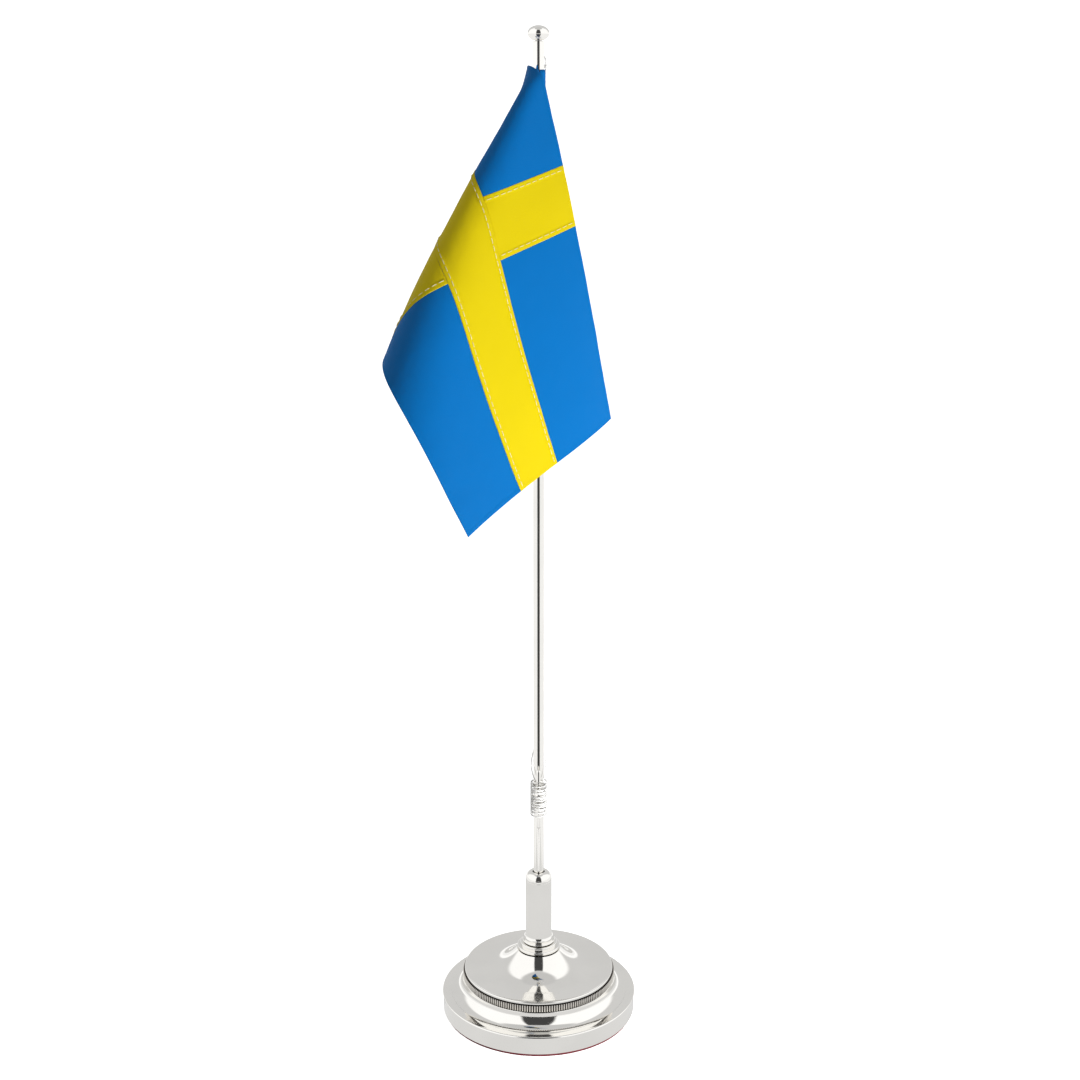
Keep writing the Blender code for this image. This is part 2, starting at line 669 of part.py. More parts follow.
# The point that the cloth's straight lines fan out from.
APEX = Vector((HINGE[0] + APEX_OFFSET[0], HINGE[1] + APEX_OFFSET[1], TAPE_TOP + APEX_OFFSET[2]))
APEX_BEFORE = 0.0035  # how far that point lies outside the hoist
APEX_ABOVE = 0.0154  # and above the flag's top edge
START_LEAN = -0.066
START_SIDE = 1.224
START_HEADING = 3.409
FOLD_TURN = 11.5
FOLD_AT = math.radians(40.7)
FOLD_SPREAD = math.radians(8.0)
HOIST_CURL = -4.8
MIDDLE_CURL = 4.65
FLY_CURL = -3.1
CORNER_PULL = Vector((0.0138, -0.0071, -0.0103))  # how far the lower fly corner is drawn from the plain fan
LOWER_PULL = Vector((-0.0071, 0.0035, -0.0026))  # the middle of the lower edge
FLY_PULL = Vector((-0.0036, 0.0035, -0.0015))  # and the middle of the fly edge
HOIST_EASE = 0.016  # along this length the cloth eases from the tape into the fan
FAN_STEPS = 180


def fold_rate(angle):
    """How fast the hanging sheet turns aside, at this angle of its fan: one fold, and a curl at each end."""
    share = angle / (math.pi / 2)
    fold = FOLD_TURN * math.exp(-(((angle - FOLD_AT) / FOLD_SPREAD) ** 2))
    curl = HOIST_CURL * (1 - share) ** 2 + 2 * MIDDLE_CURL * share * (1 - share) + FLY_CURL * share**2
    return curl - fold


def make_fan():
    """Directions of the straight lines in the sheet, evenly spread over 90 degrees of the flat flag.

    Each step turns by the same angle, so the hung flag has the flat flag's lengths and angles.
    """
    side = Vector((math.sin(START_SIDE), -math.cos(START_SIDE), 0))
    down = math.sin(START_LEAN) * side + Vector((0, 0, -math.cos(START_LEAN)))
    across = (Vector((1, 0, 0)) - down * down.x).normalized()
    ahead = math.cos(START_HEADING) * across + math.sin(START_HEADING) * down.cross(across)
    frame = Matrix((down, ahead, down.cross(ahead)))
    step = math.pi / 2 / FAN_STEPS
    fan = [down.copy()]
    for i in range(FAN_STEPS):
        rate = (fold_rate(i * step) + fold_rate((i + 1) * step)) / 2
        turn = frame[2] + rate * frame[0]
        spin = Quaternion(turn.normalized(), turn.length * step).to_matrix()
        frame = Matrix([spin @ row for row in frame])
        fan.append(frame[0].copy())
    return fan


FAN = make_fan()


def fan_point(along, below):
    """Where a point of the flat flag hangs."""
    right = along + APEX_BEFORE
    drop = below + APEX_ABOVE
    place = math.atan2(right, drop) / (math.pi / 2) * FAN_STEPS
    first = min(int(place), FAN_STEPS - 1)
    direction = FAN[first].lerp(FAN[first + 1], place - first).normalized()
    length = along / FLAG_LENGTH
    depth = below / FLAG_HEIGHT
    pull = CORNER_PULL * length * depth
    pull += LOWER_PULL * 4 * length * (1 - length) * depth
    pull += FLY_PULL * 4 * length * depth * (1 - depth)
    point = APEX + direction * math.hypot(right, drop) + pull
    if along < HOIST_EASE:
        share = along / HOIST_EASE
        keep = share * share * (3 - 2 * share)
        start = Vector((HOIST_LINE[0] - along, HOIST_LINE[1], TAPE_TOP - below))
        point = start.lerp(point, keep)
    return point


def hung(along, below):
    """Where a point of the flat flag hangs, with the sheet's upright there."""
    step = 0.0004
    point = fan_point(along, below)
    across = fan_point(along + step, below) - fan_point(max(along - step, 0), below)
    down = fan_point(along, below + step) - fan_point(along, max(below - step, 0))
    return point, across.cross(down).normalized()


def panel(name, left, right, top, bottom, look, parent, columns, rows):
    """A piece of the flag between two lengths and two depths of the flat sheet, as thick cloth."""
    work = bmesh.new()
    half = CLOTH_THICKNESS / 2
    grids = []
    for side in (half, -half):
        grid = []
        for j in range(rows + 1):
            line = []
            for i in range(columns + 1):
                along = left + (right - left) * i / columns
                below = top + (bottom - top) * j / rows
                point, upright = hung(along, below)
                line.append(work.verts.new(point + upright * side - world_place(parent)))
            grid.append(line)
        grids.append(grid)
    for grid in grids:
        for j in range(rows):
            for i in range(columns):
                work.faces.new((grid[j][i], grid[j][i + 1], grid[j + 1][i + 1], grid[j + 1][i]))
    front, back = grids
    rim = [(0, i) for i in range(columns)] + [(j, columns) for j in range(rows)]
    rim += [(rows, i) for i in range(columns, 0, -1)] + [(j, 0) for j in range(rows, 0, -1)]
    for k, (j, i) in enumerate(rim):
        m, n = rim[(k + 1) % len(rim)]
        work.faces.new((front[j][i], front[m][n], back[m][n], back[j][i]))
    bmesh.ops.recalc_face_normals(work, faces=work.faces)
    mesh = bpy.data.meshes.new(name)
    work.to_mesh(mesh)
    work.free()
    made = bpy.data.objects.new(name, mesh)
    mesh.materials.append(look)
    STAND.objects.link(made)
    made.parent = parent
    smooth(made)
    return made


def make_flag(carriage, flag):
    # The heading tape lies round the mast, from the cord forwards.
    tape = bpy.data.curves.new("hoist_tape", "CURVE")
    tape.dimensions = "2D"
    tape.fill_mode = "BOTH"
    tape.extrude = FLAG_HEIGHT / 2
    outline = []
    for radius, start, end in ((TAPE_RADIUS, TAPE_FROM, TAPE_TO), (TAPE_RADIUS + TAPE_THICKNESS, TAPE_TO, TAPE_FROM)):
        for i in range(9):
            angle = start + (end - start) * i / 8
            outline.append((radius * math.cos(angle), radius * math.sin(angle)))
    ring = tape.splines.new("POLY")
    ring.points.add(len(outline) - 1)
    for point, (x, y) in zip(ring.points, outline):
        point.co = (x, y, 0, 1)
    ring.use_cyclic_u = True
    tape.materials.append(BLUE)
    made = bpy.data.objects.new("hoist_tape", tape)
    made.location = (0, 0, (TAPE_TOP + TAPE_BOTTOM) / 2)
    STAND.objects.link(made)
    attach(made, carriage)

    inner = CORD_RADIUS + KNOT_FIT
    for name, low in (
        ("hoist_knot_top", KNOT_TOP_BOTTOM),
        ("hoist_knot_bottom", TAPE_BOTTOM - GAP - KNOT_HEIGHT),
    ):
        profile = ring_profile(inner, inner + KNOT_WALL, 0, KNOT_HEIGHT)
        turned(name, profile, CORD, carriage, (CORD_X, CORD_Y, low), closed=True, steps=20)

    # Seven pieces of cloth, cut and sewn: the long band is whole, the short bands butt against it.
    band_top = (FLAG_HEIGHT - BAND_WIDTH) / 2
    band_bottom = band_top + BAND_WIDTH
    fly_panel = HOIST_PANEL + BAND_WIDTH
    gap = SEAM_GAP / 2
    upper = (0, band_top - gap)
    lower = (band_bottom + gap, FLAG_HEIGHT)
    hoist = (0, HOIST_PANEL - gap)
    short = (HOIST_PANEL + gap, fly_panel - gap)
    fly = (fly_panel + gap, FLAG_LENGTH)
    panel("canton_hoist_upper", *hoist, *upper, BLUE, flag, 14, 8)
    panel("canton_hoist_lower", *hoist, *lower, BLUE, flag, 16, 6)
    panel("band_upper", *short, *upper, YELLOW, flag, 5, 8)
    panel("band_lower", *short, *lower, YELLOW, flag, 10, 6)
    panel("canton_fly_upper", *fly, *upper, BLUE, flag, 10, 7)
    panel("canton_fly_lower", *fly, *lower, BLUE, flag, 14, 6)
    panel("band_long", 0, FLAG_LENGTH, band_top + gap, band_bottom - gap, YELLOW, flag, 34, 4)


# ---- Assembly ------------------------------------------------------------------------------------
foot = empty("foot", (0, 0, 0))
liner_axis = empty("liner_axis", (0, 0, LINER_BOTTOM), foot)
mast_axis = empty("mast_axis", (0, 0, MAST_BOTTOM), liner_axis)
carriage_axis = empty("carriage_axis", (CORD_X, CORD_Y, TAPE_TOP), mast_axis)
flag_axis = empty("flag_axis", (*HINGE, TAPE_TOP), carriage_axis)

make_base(foot)
make_mast(liner_axis, mast_axis)
make_flag(carriage_axis, flag_axis)
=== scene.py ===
# %% [markdown]
# # A desk flag stand: the looks
#
# The object is a small sewn flag on a silver-plated stand. A weighted round base carries a thin mast, and
# a white cord holds the flag at its upper corner, so that it hangs and folds once.
# The working model is already built and packed. This script loads it as a fixed frame and makes the
# visible quality on top of it: mirror-bright metal, real cord, and cloth with seams and stitches.

# %% Load the frame
import math

import bmesh
import bpy
from mathutils import Matrix, Quaternion, Vector, noise


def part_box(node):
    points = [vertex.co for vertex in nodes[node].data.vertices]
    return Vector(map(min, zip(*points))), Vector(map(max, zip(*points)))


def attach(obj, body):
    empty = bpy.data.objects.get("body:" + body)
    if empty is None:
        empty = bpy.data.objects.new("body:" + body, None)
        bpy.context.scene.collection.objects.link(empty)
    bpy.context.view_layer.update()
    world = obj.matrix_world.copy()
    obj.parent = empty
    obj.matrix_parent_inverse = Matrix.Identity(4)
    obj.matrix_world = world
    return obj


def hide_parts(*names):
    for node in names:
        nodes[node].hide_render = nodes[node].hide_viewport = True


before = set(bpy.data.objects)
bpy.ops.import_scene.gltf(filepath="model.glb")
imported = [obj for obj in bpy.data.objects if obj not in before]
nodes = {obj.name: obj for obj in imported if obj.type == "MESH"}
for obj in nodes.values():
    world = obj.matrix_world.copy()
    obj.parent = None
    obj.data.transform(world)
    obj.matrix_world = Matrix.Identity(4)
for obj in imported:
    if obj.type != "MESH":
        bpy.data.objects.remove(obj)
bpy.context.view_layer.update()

print("nodes:", len(nodes))

# %% [markdown]
# ## Camera
#
# The stand is seen from a little above, with a normal lens, so that upright lines stay almost parallel.
# A camera looks along its own -Z axis, so a tilt of 90 degrees about X would look level. Less than
# that looks down.

# %% Place the camera
CAMERA_PLACE = (0.0006, -0.7137, 0.4202)
CAMERA_TILT = math.radians(74)

camera_data = bpy.data.cameras.new("camera")
camera_data.lens = 60
camera_data.sensor_width = 36
camera_data.clip_start = 0.01
camera = bpy.data.objects.new("camera", camera_data)
camera.location = CAMERA_PLACE
camera.rotation_euler = (CAMERA_TILT, 0, 0)
bpy.context.scene.collection.objects.link(camera)
bpy.context.scene.camera = camera
bpy.context.scene.view_settings.view_transform = "Standard"
print("camera looks down by", round(90 - math.degrees(CAMERA_TILT)), "degrees")

# %% [markdown]
# ## Studio
#
# Bright metal has hardly any colour of its own: it shows the room. So the room comes first. Silver is
# lit in a white tent, and the opening at its front is dark. That opening draws the thin dark line down
# the middle of the mast and the dark patches at its foot. Here the tent is the world background, shaded
# by direction, and it does not follow the camera.

# %% A small kit for finishes and meshes
def wire(tree, socket, value):
    """Links a socket to another one, or sets it to a value."""
    if isinstance(value, bpy.types.NodeSocket):
        tree.links.new(value, socket)
    else:
        socket.default_value = value


def set_up(tree, node, **inputs):
    """Sets or links sockets by name, with _ for a space."""
    for name, value in inputs.items():
        wire(tree, node.inputs[name.replace("_", " ")], value)


def add_node(tree, kind, **inputs):
    made = tree.nodes.new(kind)
    set_up(tree, made, **inputs)
    return made


def maths(tree, operation, first, second=0.0):
    made = tree.nodes.new("ShaderNodeMath")
    made.operation = operation
    wire(tree, made.inputs[0], first)
    wire(tree, made.inputs[1], second)
    return made.outputs[0]


def eased(tree, value, start, end, low=0.0, high=1.0):
    """Goes smoothly from low to high while value goes from start to end."""
    made = add_node(tree, "ShaderNodeMapRange", Value=value, From_Min=start, From_Max=end)
    made.interpolation_type = "SMOOTHSTEP"
    set_up(tree, made, To_Min=low, To_Max=high)
    return made.outputs["Result"]


def mixed(tree, share, first, second):
    """A colour between two others, each given as three numbers or as a socket."""
    made = tree.nodes.new("ShaderNodeMix")
    made.data_type = "RGBA"
    wire(tree, made.inputs[0], share)
    for socket, colour in ((made.inputs[6], first), (made.inputs[7], second)):
        wire(tree, socket, colour if isinstance(colour, bpy.types.NodeSocket) else (*colour, 1))
    return made.outputs[2]


def new_finish(name, **inputs):
    """A new finish, with the tree and the shader that it is built from."""
    made = bpy.data.materials.new(name)
    made.use_nodes = True
    shader = made.node_tree.nodes["Principled BSDF"]
    set_up(made.node_tree, shader, **inputs)
    return made, made.node_tree, shader


def glowing_finish(name, grey, roughness, specular, glow):
    look, tree, shader = new_finish(name, Base_Color=(grey, grey, grey, 1), Roughness=roughness)
    set_up(tree, shader, Specular_IOR_Level=specular)
    set_up(tree, shader, Emission_Color=(1, 1, 1, 1), Emission_Strength=glow)
    return look


def made_mesh(name, work, outward=True):
    """A smooth mesh of what was built in work."""
    if outward:
        bmesh.ops.recalc_face_normals(work, faces=work.faces)
    mesh = bpy.data.meshes.new(name)
    work.to_mesh(mesh)
    work.free()
    mesh.shade_smooth()
    return mesh


# %% The white tent, with its dark opening at the front
TENT_WHITE = 1.05
BACK_GREY = 0.60
ROOF_GREY = 0.54
OPENING_HALF_ANGLE = 24  # degrees
OPENING_DARK = 0.06
OPENING_EDGE = (0.86, 1.12)  # where its soft edge starts and ends, as shares of the half angle
OPENING_TOP = (0.90, 0.93)  # heights are the upward part of a direction: 0 is level, 1 straight up
ROOF_EDGE = (0.90, 0.94)
BACK_EDGE = (115, 135)  # degrees from the front
BACK_FOOT = (0.06, 0.16)
SOFT_FILL = 0.44  # the even light on everything that is not a mirror
BACKDROP = 1.1  # what the camera sees behind the stand

world = bpy.data.worlds.new("white_tent")
bpy.context.scene.world = world
world.use_nodes = True
tent = world.node_tree
tent.nodes.clear()
direction = add_node(tent, "ShaderNodeTexCoord").outputs["Generated"]
parts = add_node(tent, "ShaderNodeSeparateXYZ", Vector=direction)
forward = maths(tent, "MULTIPLY", parts.outputs["Y"], -1.0)
sideways = maths(tent, "ABSOLUTE", parts.outputs["X"])
azimuth = maths(tent, "ARCTAN2", sideways, forward)
height = parts.outputs["Z"]

half = math.radians(OPENING_HALF_ANGLE)
beside = eased(tent, azimuth, *[half * share for share in OPENING_EDGE])
above = eased(tent, height, *OPENING_TOP)
open_wall = maths(tent, "MAXIMUM", beside, above)
behind = eased(tent, azimuth, *[math.radians(angle) for angle in BACK_EDGE])
high_back = maths(tent, "MULTIPLY", behind, eased(tent, height, *BACK_FOOT))
back_wall = eased(tent, high_back, 0.0, 1.0, TENT_WHITE, BACK_GREY)
roofed = eased(tent, height, *ROOF_EDGE)
not_roofed = maths(tent, "SUBTRACT", 1.0, roofed)
roof = maths(tent, "MULTIPLY", roofed, ROOF_GREY)
wall = maths(tent, "ADD", maths(tent, "MULTIPLY", not_roofed, back_wall), roof)
lit_wall = maths(tent, "MULTIPLY", open_wall, wall)
brightness = maths(tent, "ADD", lit_wall, OPENING_DARK)

rays = add_node(tent, "ShaderNodeLightPath")
seen = maths(tent, "MULTIPLY", brightness, rays.outputs["Is Glossy Ray"])
others = maths(tent, "SUBTRACT", 1.0, rays.outputs["Is Glossy Ray"])
plain = maths(tent, "MULTIPLY", others, SOFT_FILL)
camera_ray = maths(tent, "MULTIPLY", rays.outputs["Is Camera Ray"], BACKDROP - SOFT_FILL)
strength = maths(tent, "ADD", maths(tent, "ADD", seen, plain), camera_ray)
background = add_node(tent, "ShaderNodeBackground", Color=(1, 1, 1, 1), Strength=strength)
add_node(tent, "ShaderNodeOutputWorld", Surface=background.outputs[0])
print("tent white", TENT_WHITE, "opening", 2 * OPENING_HALF_ANGLE, "degrees wide")


# %% A soft lamp and a pale floor
# The lamp stands low, at the front and to the right, so the foot of the flag is brighter than its head.
FLAG_FOOT = (-0.01, -0.05, 0.26)
LAMP_PLACE = (0.30, -0.30, 0.12)
LAMP_SIZE = 0.20
LAMP_WATTS = 2.9
FLOOR_FLAT = 1.6  # the floor is flat out to here, then sweeps up into the wall of the tent
FLOOR_SWEEP = 1.2
FLOOR_SIDES = 96
SWEEP_STEPS = 16


def soft_lamp(name, place, target, size, watts):
    data = bpy.data.lights.new(name, "AREA")
    data.shape = "RECTANGLE"
    data.size = size
    data.size_y = size
    data.energy = watts
    lamp = bpy.data.objects.new(name, data)
    lamp.location = place
    lamp.rotation_euler = (Vector(target) - Vector(place)).to_track_quat("-Z", "Y").to_euler()
    lamp.visible_glossy = False
    lamp.visible_camera = False
    bpy.context.scene.collection.objects.link(lamp)


soft_lamp("key_lamp", LAMP_PLACE, FLAG_FOOT, LAMP_SIZE, LAMP_WATTS)


def make_floor():
    """A round floor that curves up at its edge, so that no horizon shows from any side."""
    work = bmesh.new()
    rings = [[work.verts.new((0, 0, 0))]]
    outline = [(0.4, 0.0), (0.9, 0.0), (FLOOR_FLAT, 0.0)]
    for i in range(1, SWEEP_STEPS + 1):
        angle = math.radians(90 * i / SWEEP_STEPS)
        outline.append((FLOOR_FLAT + FLOOR_SWEEP * math.sin(angle), FLOOR_SWEEP * (1 - math.cos(angle))))
    for radius, level in outline:
        ring = []
        for k in range(FLOOR_SIDES):
            angle = 2 * math.pi * k / FLOOR_SIDES
            ring.append(work.verts.new((radius * math.cos(angle), radius * math.sin(angle), level)))
        rings.append(ring)
    for ring, after in zip(rings, rings[1:]):
        for k in range(FLOOR_SIDES):
            n = (k + 1) % FLOOR_SIDES
            corners = [ring[k % len(ring)], after[k], after[n], ring[n % len(ring)]]
            work.faces.new(list(dict.fromkeys(corners)))
    return made_mesh("floor", work, outward=False)


floor = bpy.data.objects.new("floor", make_floor())
bpy.context.scene.collection.objects.link(floor)
floor.data.materials.append(glowing_finish("pale_floor", 0.92, 0.9, 0.1, 0.85))
floor.visible_glossy = False
floor.visible_diffuse = False
print("floor", 2 * FLOOR_FLAT, "m wide")

# %% [markdown]
# ### The floor as the metal sees it
#
# The metal is given a floor of its own: pale grey round the foot, white further out, and dark in a wedge
# that opens towards the front, like a dark card laid there. It draws the dark line down the lower part
# of the mast. The camera does not see these cards, and they throw no light on the cloth.

# %% Lay the cards
DARK_START = 0.19
DARK_END = 1.6
DARK_HALF_ANGLE = math.radians(25)
# Each pale card is a square: half its width, its level and how bright it is.
PALE_CARDS = {"white_card": (4.0, -0.002, 0.97), "near_card": (0.14, -0.0015, 0.75)}
DARK_LEVEL = -0.001
DARK_BRIGHTNESS = 0.05


def card(name, corners, brightness):
    mesh = bpy.data.meshes.new(name)
    mesh.from_pydata(corners, [], [tuple(range(len(corners)))])
    made = bpy.data.objects.new(name, mesh)
    bpy.context.scene.collection.objects.link(made)
    mesh.materials.append(glowing_finish(name, 0.0, 1.0, 0.0, brightness))
    made.visible_camera = False
    made.visible_diffuse = False
    made.visible_shadow = False


for name, (reach, level, brightness) in PALE_CARDS.items():
    square = [(x * reach, y * reach, level) for x, y in ((-1, -1), (1, -1), (1, 1), (-1, 1))]
    card(name, square, brightness)
wedge = []
for side, reach in ((-1, DARK_END), (1, DARK_END), (1, DARK_START), (-1, DARK_START)):
    wedge.append((side * reach * math.tan(DARK_HALF_ANGLE), -reach, DARK_LEVEL))
card("dark_card", wedge, DARK_BRIGHTNESS)
print("dark card opens", 2 * math.degrees(DARK_HALF_ANGLE), "degrees")

# %% [markdown]
# ## Silver
#
# Silver plate is a metal: all of its light is reflection, slightly warm. Hand polishing leaves it a
# mirror with a faint haze, so roughness is low but not even, and a very slight waviness bends the
# reflections. Both come from noise in the piece's own space, at the scale of millimetres.

# %% The polished silver finish
HAZE = 0.07
WAVINESS = 0.05
SILVER_TONE = (0.93, 0.915, 0.88)


def noise_field(tree, scale, detail, stretch=None):
    place = add_node(tree, "ShaderNodeTexCoord").outputs["Object"]
    if stretch is not None:
        place = add_node(tree, "ShaderNodeMapping", Vector=place, Scale=stretch).outputs["Vector"]
    return add_node(tree, "ShaderNodeTexNoise", Vector=place, Scale=scale, Detail=detail).outputs["Fac"]


def add_relief(tree, shader, height, strength, depth):
    bump = add_node(tree, "ShaderNodeBump", Height=height, Strength=strength, Distance=depth)
    wire(tree, shader.inputs["Normal"], bump.outputs["Normal"])


def polished_silver():
    made, tree, shader = new_finish("bright_silver", Metallic=1.0)
    patches = eased(tree, noise_field(tree, 45, 3.0), 0.35, 0.65)
    darker = [0.965 * channel for channel in SILVER_TONE]
    rubbed = noise_field(tree, 260, 4.0, (1, 1, 3))
    hazy = eased(tree, rubbed, 0.3, 0.75, HAZE * 0.6, HAZE * 1.5)
    set_up(tree, shader, Base_Color=mixed(tree, patches, darker, SILVER_TONE), Roughness=hazy)
    add_relief(tree, shader, noise_field(tree, 75, 1.0), WAVINESS, 0.0003)
    return made


bright_silver = polished_silver()
print("polished silver ready")

# %% [markdown]
# ## Turned pieces
#
# The base, the collars, the tube and the finial are all turned on a lathe, so each is one outline swept
# round an axis. On a mirror finish every flat facet shows, so these have far more steps than the
# working model, and round corners get several points each.

# %% Sweep an outline round the Z axis
ROUND_STEPS = 256
POLE = 0.00001  # an outline point nearer to the axis than this is on it
SHARP_ANGLE = math.radians(35)


def arc(centre, radius, start, end, steps=8):
    """Points of a round corner, angles in degrees from outwards."""
    points = []
    for i in range(steps + 1):
        angle = math.radians(start + (end - start) * i / steps)
        points.append((centre[0] + radius * math.cos(angle), centre[1] + radius * math.sin(angle)))
    return points


def turned_mesh(name, outline, steps=ROUND_STEPS, ripple=None):
    """The closed outline (radius, height) swept round. A ripple gives each point a radius of its own."""
    work = bmesh.new()
    rings = []
    for radius, level in outline:
        if radius < POLE:
            rings.append([work.verts.new((0, 0, level))])
            continue
        ring = []
        for i in range(steps):
            angle = 2 * math.pi * i / steps
            reach = radius if ripple is None else ripple(radius, level, angle)
            ring.append(work.verts.new((reach * math.cos(angle), reach * math.sin(angle), level)))
        rings.append(ring)
    for k, ring in enumerate(rings):
        after = rings[(k + 1) % len(rings)]
        if len(ring) == 1 and len(after) == 1:
            continue
        for i in range(steps):
            j = (i + 1) % steps
            corners = [ring[i % len(ring)], ring[j % len(ring)], after[j % len(after)], after[i % len(after)]]
            work.faces.new(list(dict.fromkeys(corners)))
    mesh = made_mesh(name, work)
    mesh.set_sharp_from_angle(angle=SHARP_ANGLE)
    return mesh


def place_piece(name, mesh, look, body, node):
    """Puts a finished mesh in the scene, riding on its body, in place of the working model's node."""
    piece = bpy.data.objects.new(name, mesh)
    bpy.context.scene.collection.objects.link(piece)
    mesh.materials.append(look)
    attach(piece, body)
    if node is not None:
        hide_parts(node)
    print(name, "has", len(mesh.polygons), "faces")
    return piece


def turn_silver(name, outline, body, node, steps=ROUND_STEPS):
    place_piece(name, turned_mesh(name, outline, steps), bright_silver, body, node)


def levels(node):
    """Outer radius, lowest and highest level of a round CAD node."""
    low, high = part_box(node)
    return (high.x - low.x) / 2, low.z, high.z


# %% [markdown]
# ### The base shell
#
# One sheet of plated metal, spun over a former: a plain rim, a low plate, a hollow cove, and a raised
# ledge. A tiny bead catches a white line all round the rim.

# %% Spin the base shell
COVE_RADIUS = 0.0056
RIM_BEAD = 0.0006
RIM_INSET = 0.0003  # the rim stands this far inside its bead
RIM_HEIGHT = 0.0083
SHELL_WALL = 0.0007
SCREW_BORE = 0.0029
LEDGE_RADIUS = 0.0330
LEDGE_ROUND = 0.0003

rim_radius, shell_low, ledge_level = levels("base_shell")
low_plate = shell_low + RIM_HEIGHT
rim_side = rim_radius - RIM_INSET
shell_outline = [(SCREW_BORE, ledge_level), (LEDGE_RADIUS - LEDGE_ROUND, ledge_level)]
shell_outline += arc((LEDGE_RADIUS - LEDGE_ROUND, ledge_level - LEDGE_ROUND), LEDGE_ROUND, 90, 0, 4)
shell_outline += arc((LEDGE_RADIUS + COVE_RADIUS, low_plate + COVE_RADIUS), COVE_RADIUS, 180, 270, 18)
# A spun plate is not quite flat.
for radius, sag in ((0.0375, 0.00002), (0.0395, 0.00003), (0.0409, 0.00002)):
    shell_outline.append((radius, low_plate - sag))
shell_outline += arc((rim_radius - RIM_BEAD, low_plate - RIM_BEAD), RIM_BEAD, 100, -20, 12)
shell_outline += [(rim_side, low_plate - 0.0016), (rim_side, shell_low + 0.0002)]
shell_outline += [(rim_side - 0.0002, shell_low), (rim_side - SHELL_WALL, shell_low)]
shell_outline += [(rim_side - SHELL_WALL, low_plate - SHELL_WALL)]
shell_outline += [(LEDGE_RADIUS - SHELL_WALL, low_plate - SHELL_WALL)]
shell_outline += [(LEDGE_RADIUS - SHELL_WALL, ledge_level - SHELL_WALL)]
shell_outline += [(SCREW_BORE, ledge_level - SHELL_WALL)]
turn_silver("spun_shell", shell_outline, "foot", "base_shell")

# %% [markdown]
# ### The milled ring
#
# A ring with upright flutes all round. Each flute is a small rounded rib, which flashes
# white on one side and dark on the other. The ribs fade out at the top and bottom edge, as a knurl does.

# %% Cut the flutes
FLUTES = 196
FLUTE_DEPTH = 0.0007
FLUTE_STEPS = 8
RING_WIDTH = 0.0034
RING_ROUND = 0.0004
RING_LIP = 0.0013  # the flutes start this far in from the edge
GROOVE_COLOUR = (0.05, 0.042, 0.035)
RIB_COLOUR = (0.78, 0.75, 0.70)

ring_radius, ring_low, ring_high = levels("milled_ring")


def milled_finish():
    """Silver that is almost black at the bottom of the grooves and bright towards the tops of the ribs."""
    made, tree, shader = new_finish("milled_silver", Metallic=1.0)
    place = add_node(tree, "ShaderNodeTexCoord").outputs["Object"]
    split = add_node(tree, "ShaderNodeSeparateXYZ", Vector=place)
    square_x, square_y = [maths(tree, "MULTIPLY", split.outputs[axis], split.outputs[axis]) for axis in "XY"]
    reach_out = maths(tree, "SQRT", maths(tree, "ADD", square_x, square_y))
    rubbed = eased(tree, reach_out, ring_radius - 0.00045, ring_radius - 0.00005)
    worn = eased(tree, noise_field(tree, 900, 2.0), 0.3, 0.7, 0.12, 0.24)
    set_up(tree, shader, Base_Color=mixed(tree, rubbed, GROOVE_COLOUR, RIB_COLOUR), Roughness=worn)
    return made


milled_silver = milled_finish()


def flute_ripple(radius, _level, angle):
    if radius < ring_radius - 0.0012:
        return radius
    share = (angle * FLUTES / (2 * math.pi)) % 1
    rib = abs(math.sin(math.pi * share)) ** 0.8
    return radius - FLUTE_DEPTH * (1 - rib)


ring_outline = [(ring_radius - RING_WIDTH, ring_high), (ring_radius - RING_LIP, ring_high)]
ring_outline += arc((ring_radius - RING_ROUND, ring_high - RING_ROUND), RING_ROUND, 80, 0, 4)
ring_outline += arc((ring_radius - RING_ROUND, ring_low + RING_ROUND), RING_ROUND, 0, -80, 4)
ring_outline += [(ring_radius - RING_LIP, ring_low), (ring_radius - RING_WIDTH, ring_low)]
ring_mesh = turned_mesh("fluted_ring", ring_outline, FLUTES * FLUTE_STEPS, flute_ripple)
place_piece("fluted_ring", ring_mesh, milled_silver, "foot", "milled_ring")

# %% [markdown]
# ### The upper plate and the collars
#
# The upper plate is one spun sheet. It has a bright bead at its edge and a flat floor, and its middle
# sweeps up in a flare to a narrow neck. Two small steps on the neck lead to the tube that holds the mast.

# %% Turn the upper plate
NECK_RADIUS = 0.0095
FLARE_RADIUS = 0.0260
FLARE_POWER = 2.5
FLARE_STEPS = 64

plate_radius, plate_low, neck_top = levels("upper_plate")
BEAD = 0.00045
rim_top = plate_low + 0.0011
plate_floor = rim_top - 0.0003
plate_wall = plate_floor - plate_low
flared = []
for i in range(FLARE_STEPS + 1):
    share = i / FLARE_STEPS
    level = plate_floor + (neck_top - plate_floor) * (1 - share) ** FLARE_POWER
    flared.append((NECK_RADIUS + (FLARE_RADIUS - NECK_RADIUS) * share, level))
plate_outline = [(SCREW_BORE, neck_top)] + flared
plate_outline += [(plate_radius - 4.2 * BEAD, plate_floor)]
plate_outline += [(plate_radius - 3.0 * BEAD, plate_floor + 0.00006)]
plate_outline += arc((plate_radius - BEAD, rim_top - BEAD), BEAD, 125, 0, 12)
plate_outline += [(plate_radius, plate_low + 0.0001), (plate_radius - 0.0001, plate_low)]
plate_outline += [(radius, level - plate_wall) for radius, level in reversed(flared)]
plate_outline += [(SCREW_BORE, neck_top - plate_wall)]
turn_silver("flared_plate", plate_outline, "foot", "upper_plate")

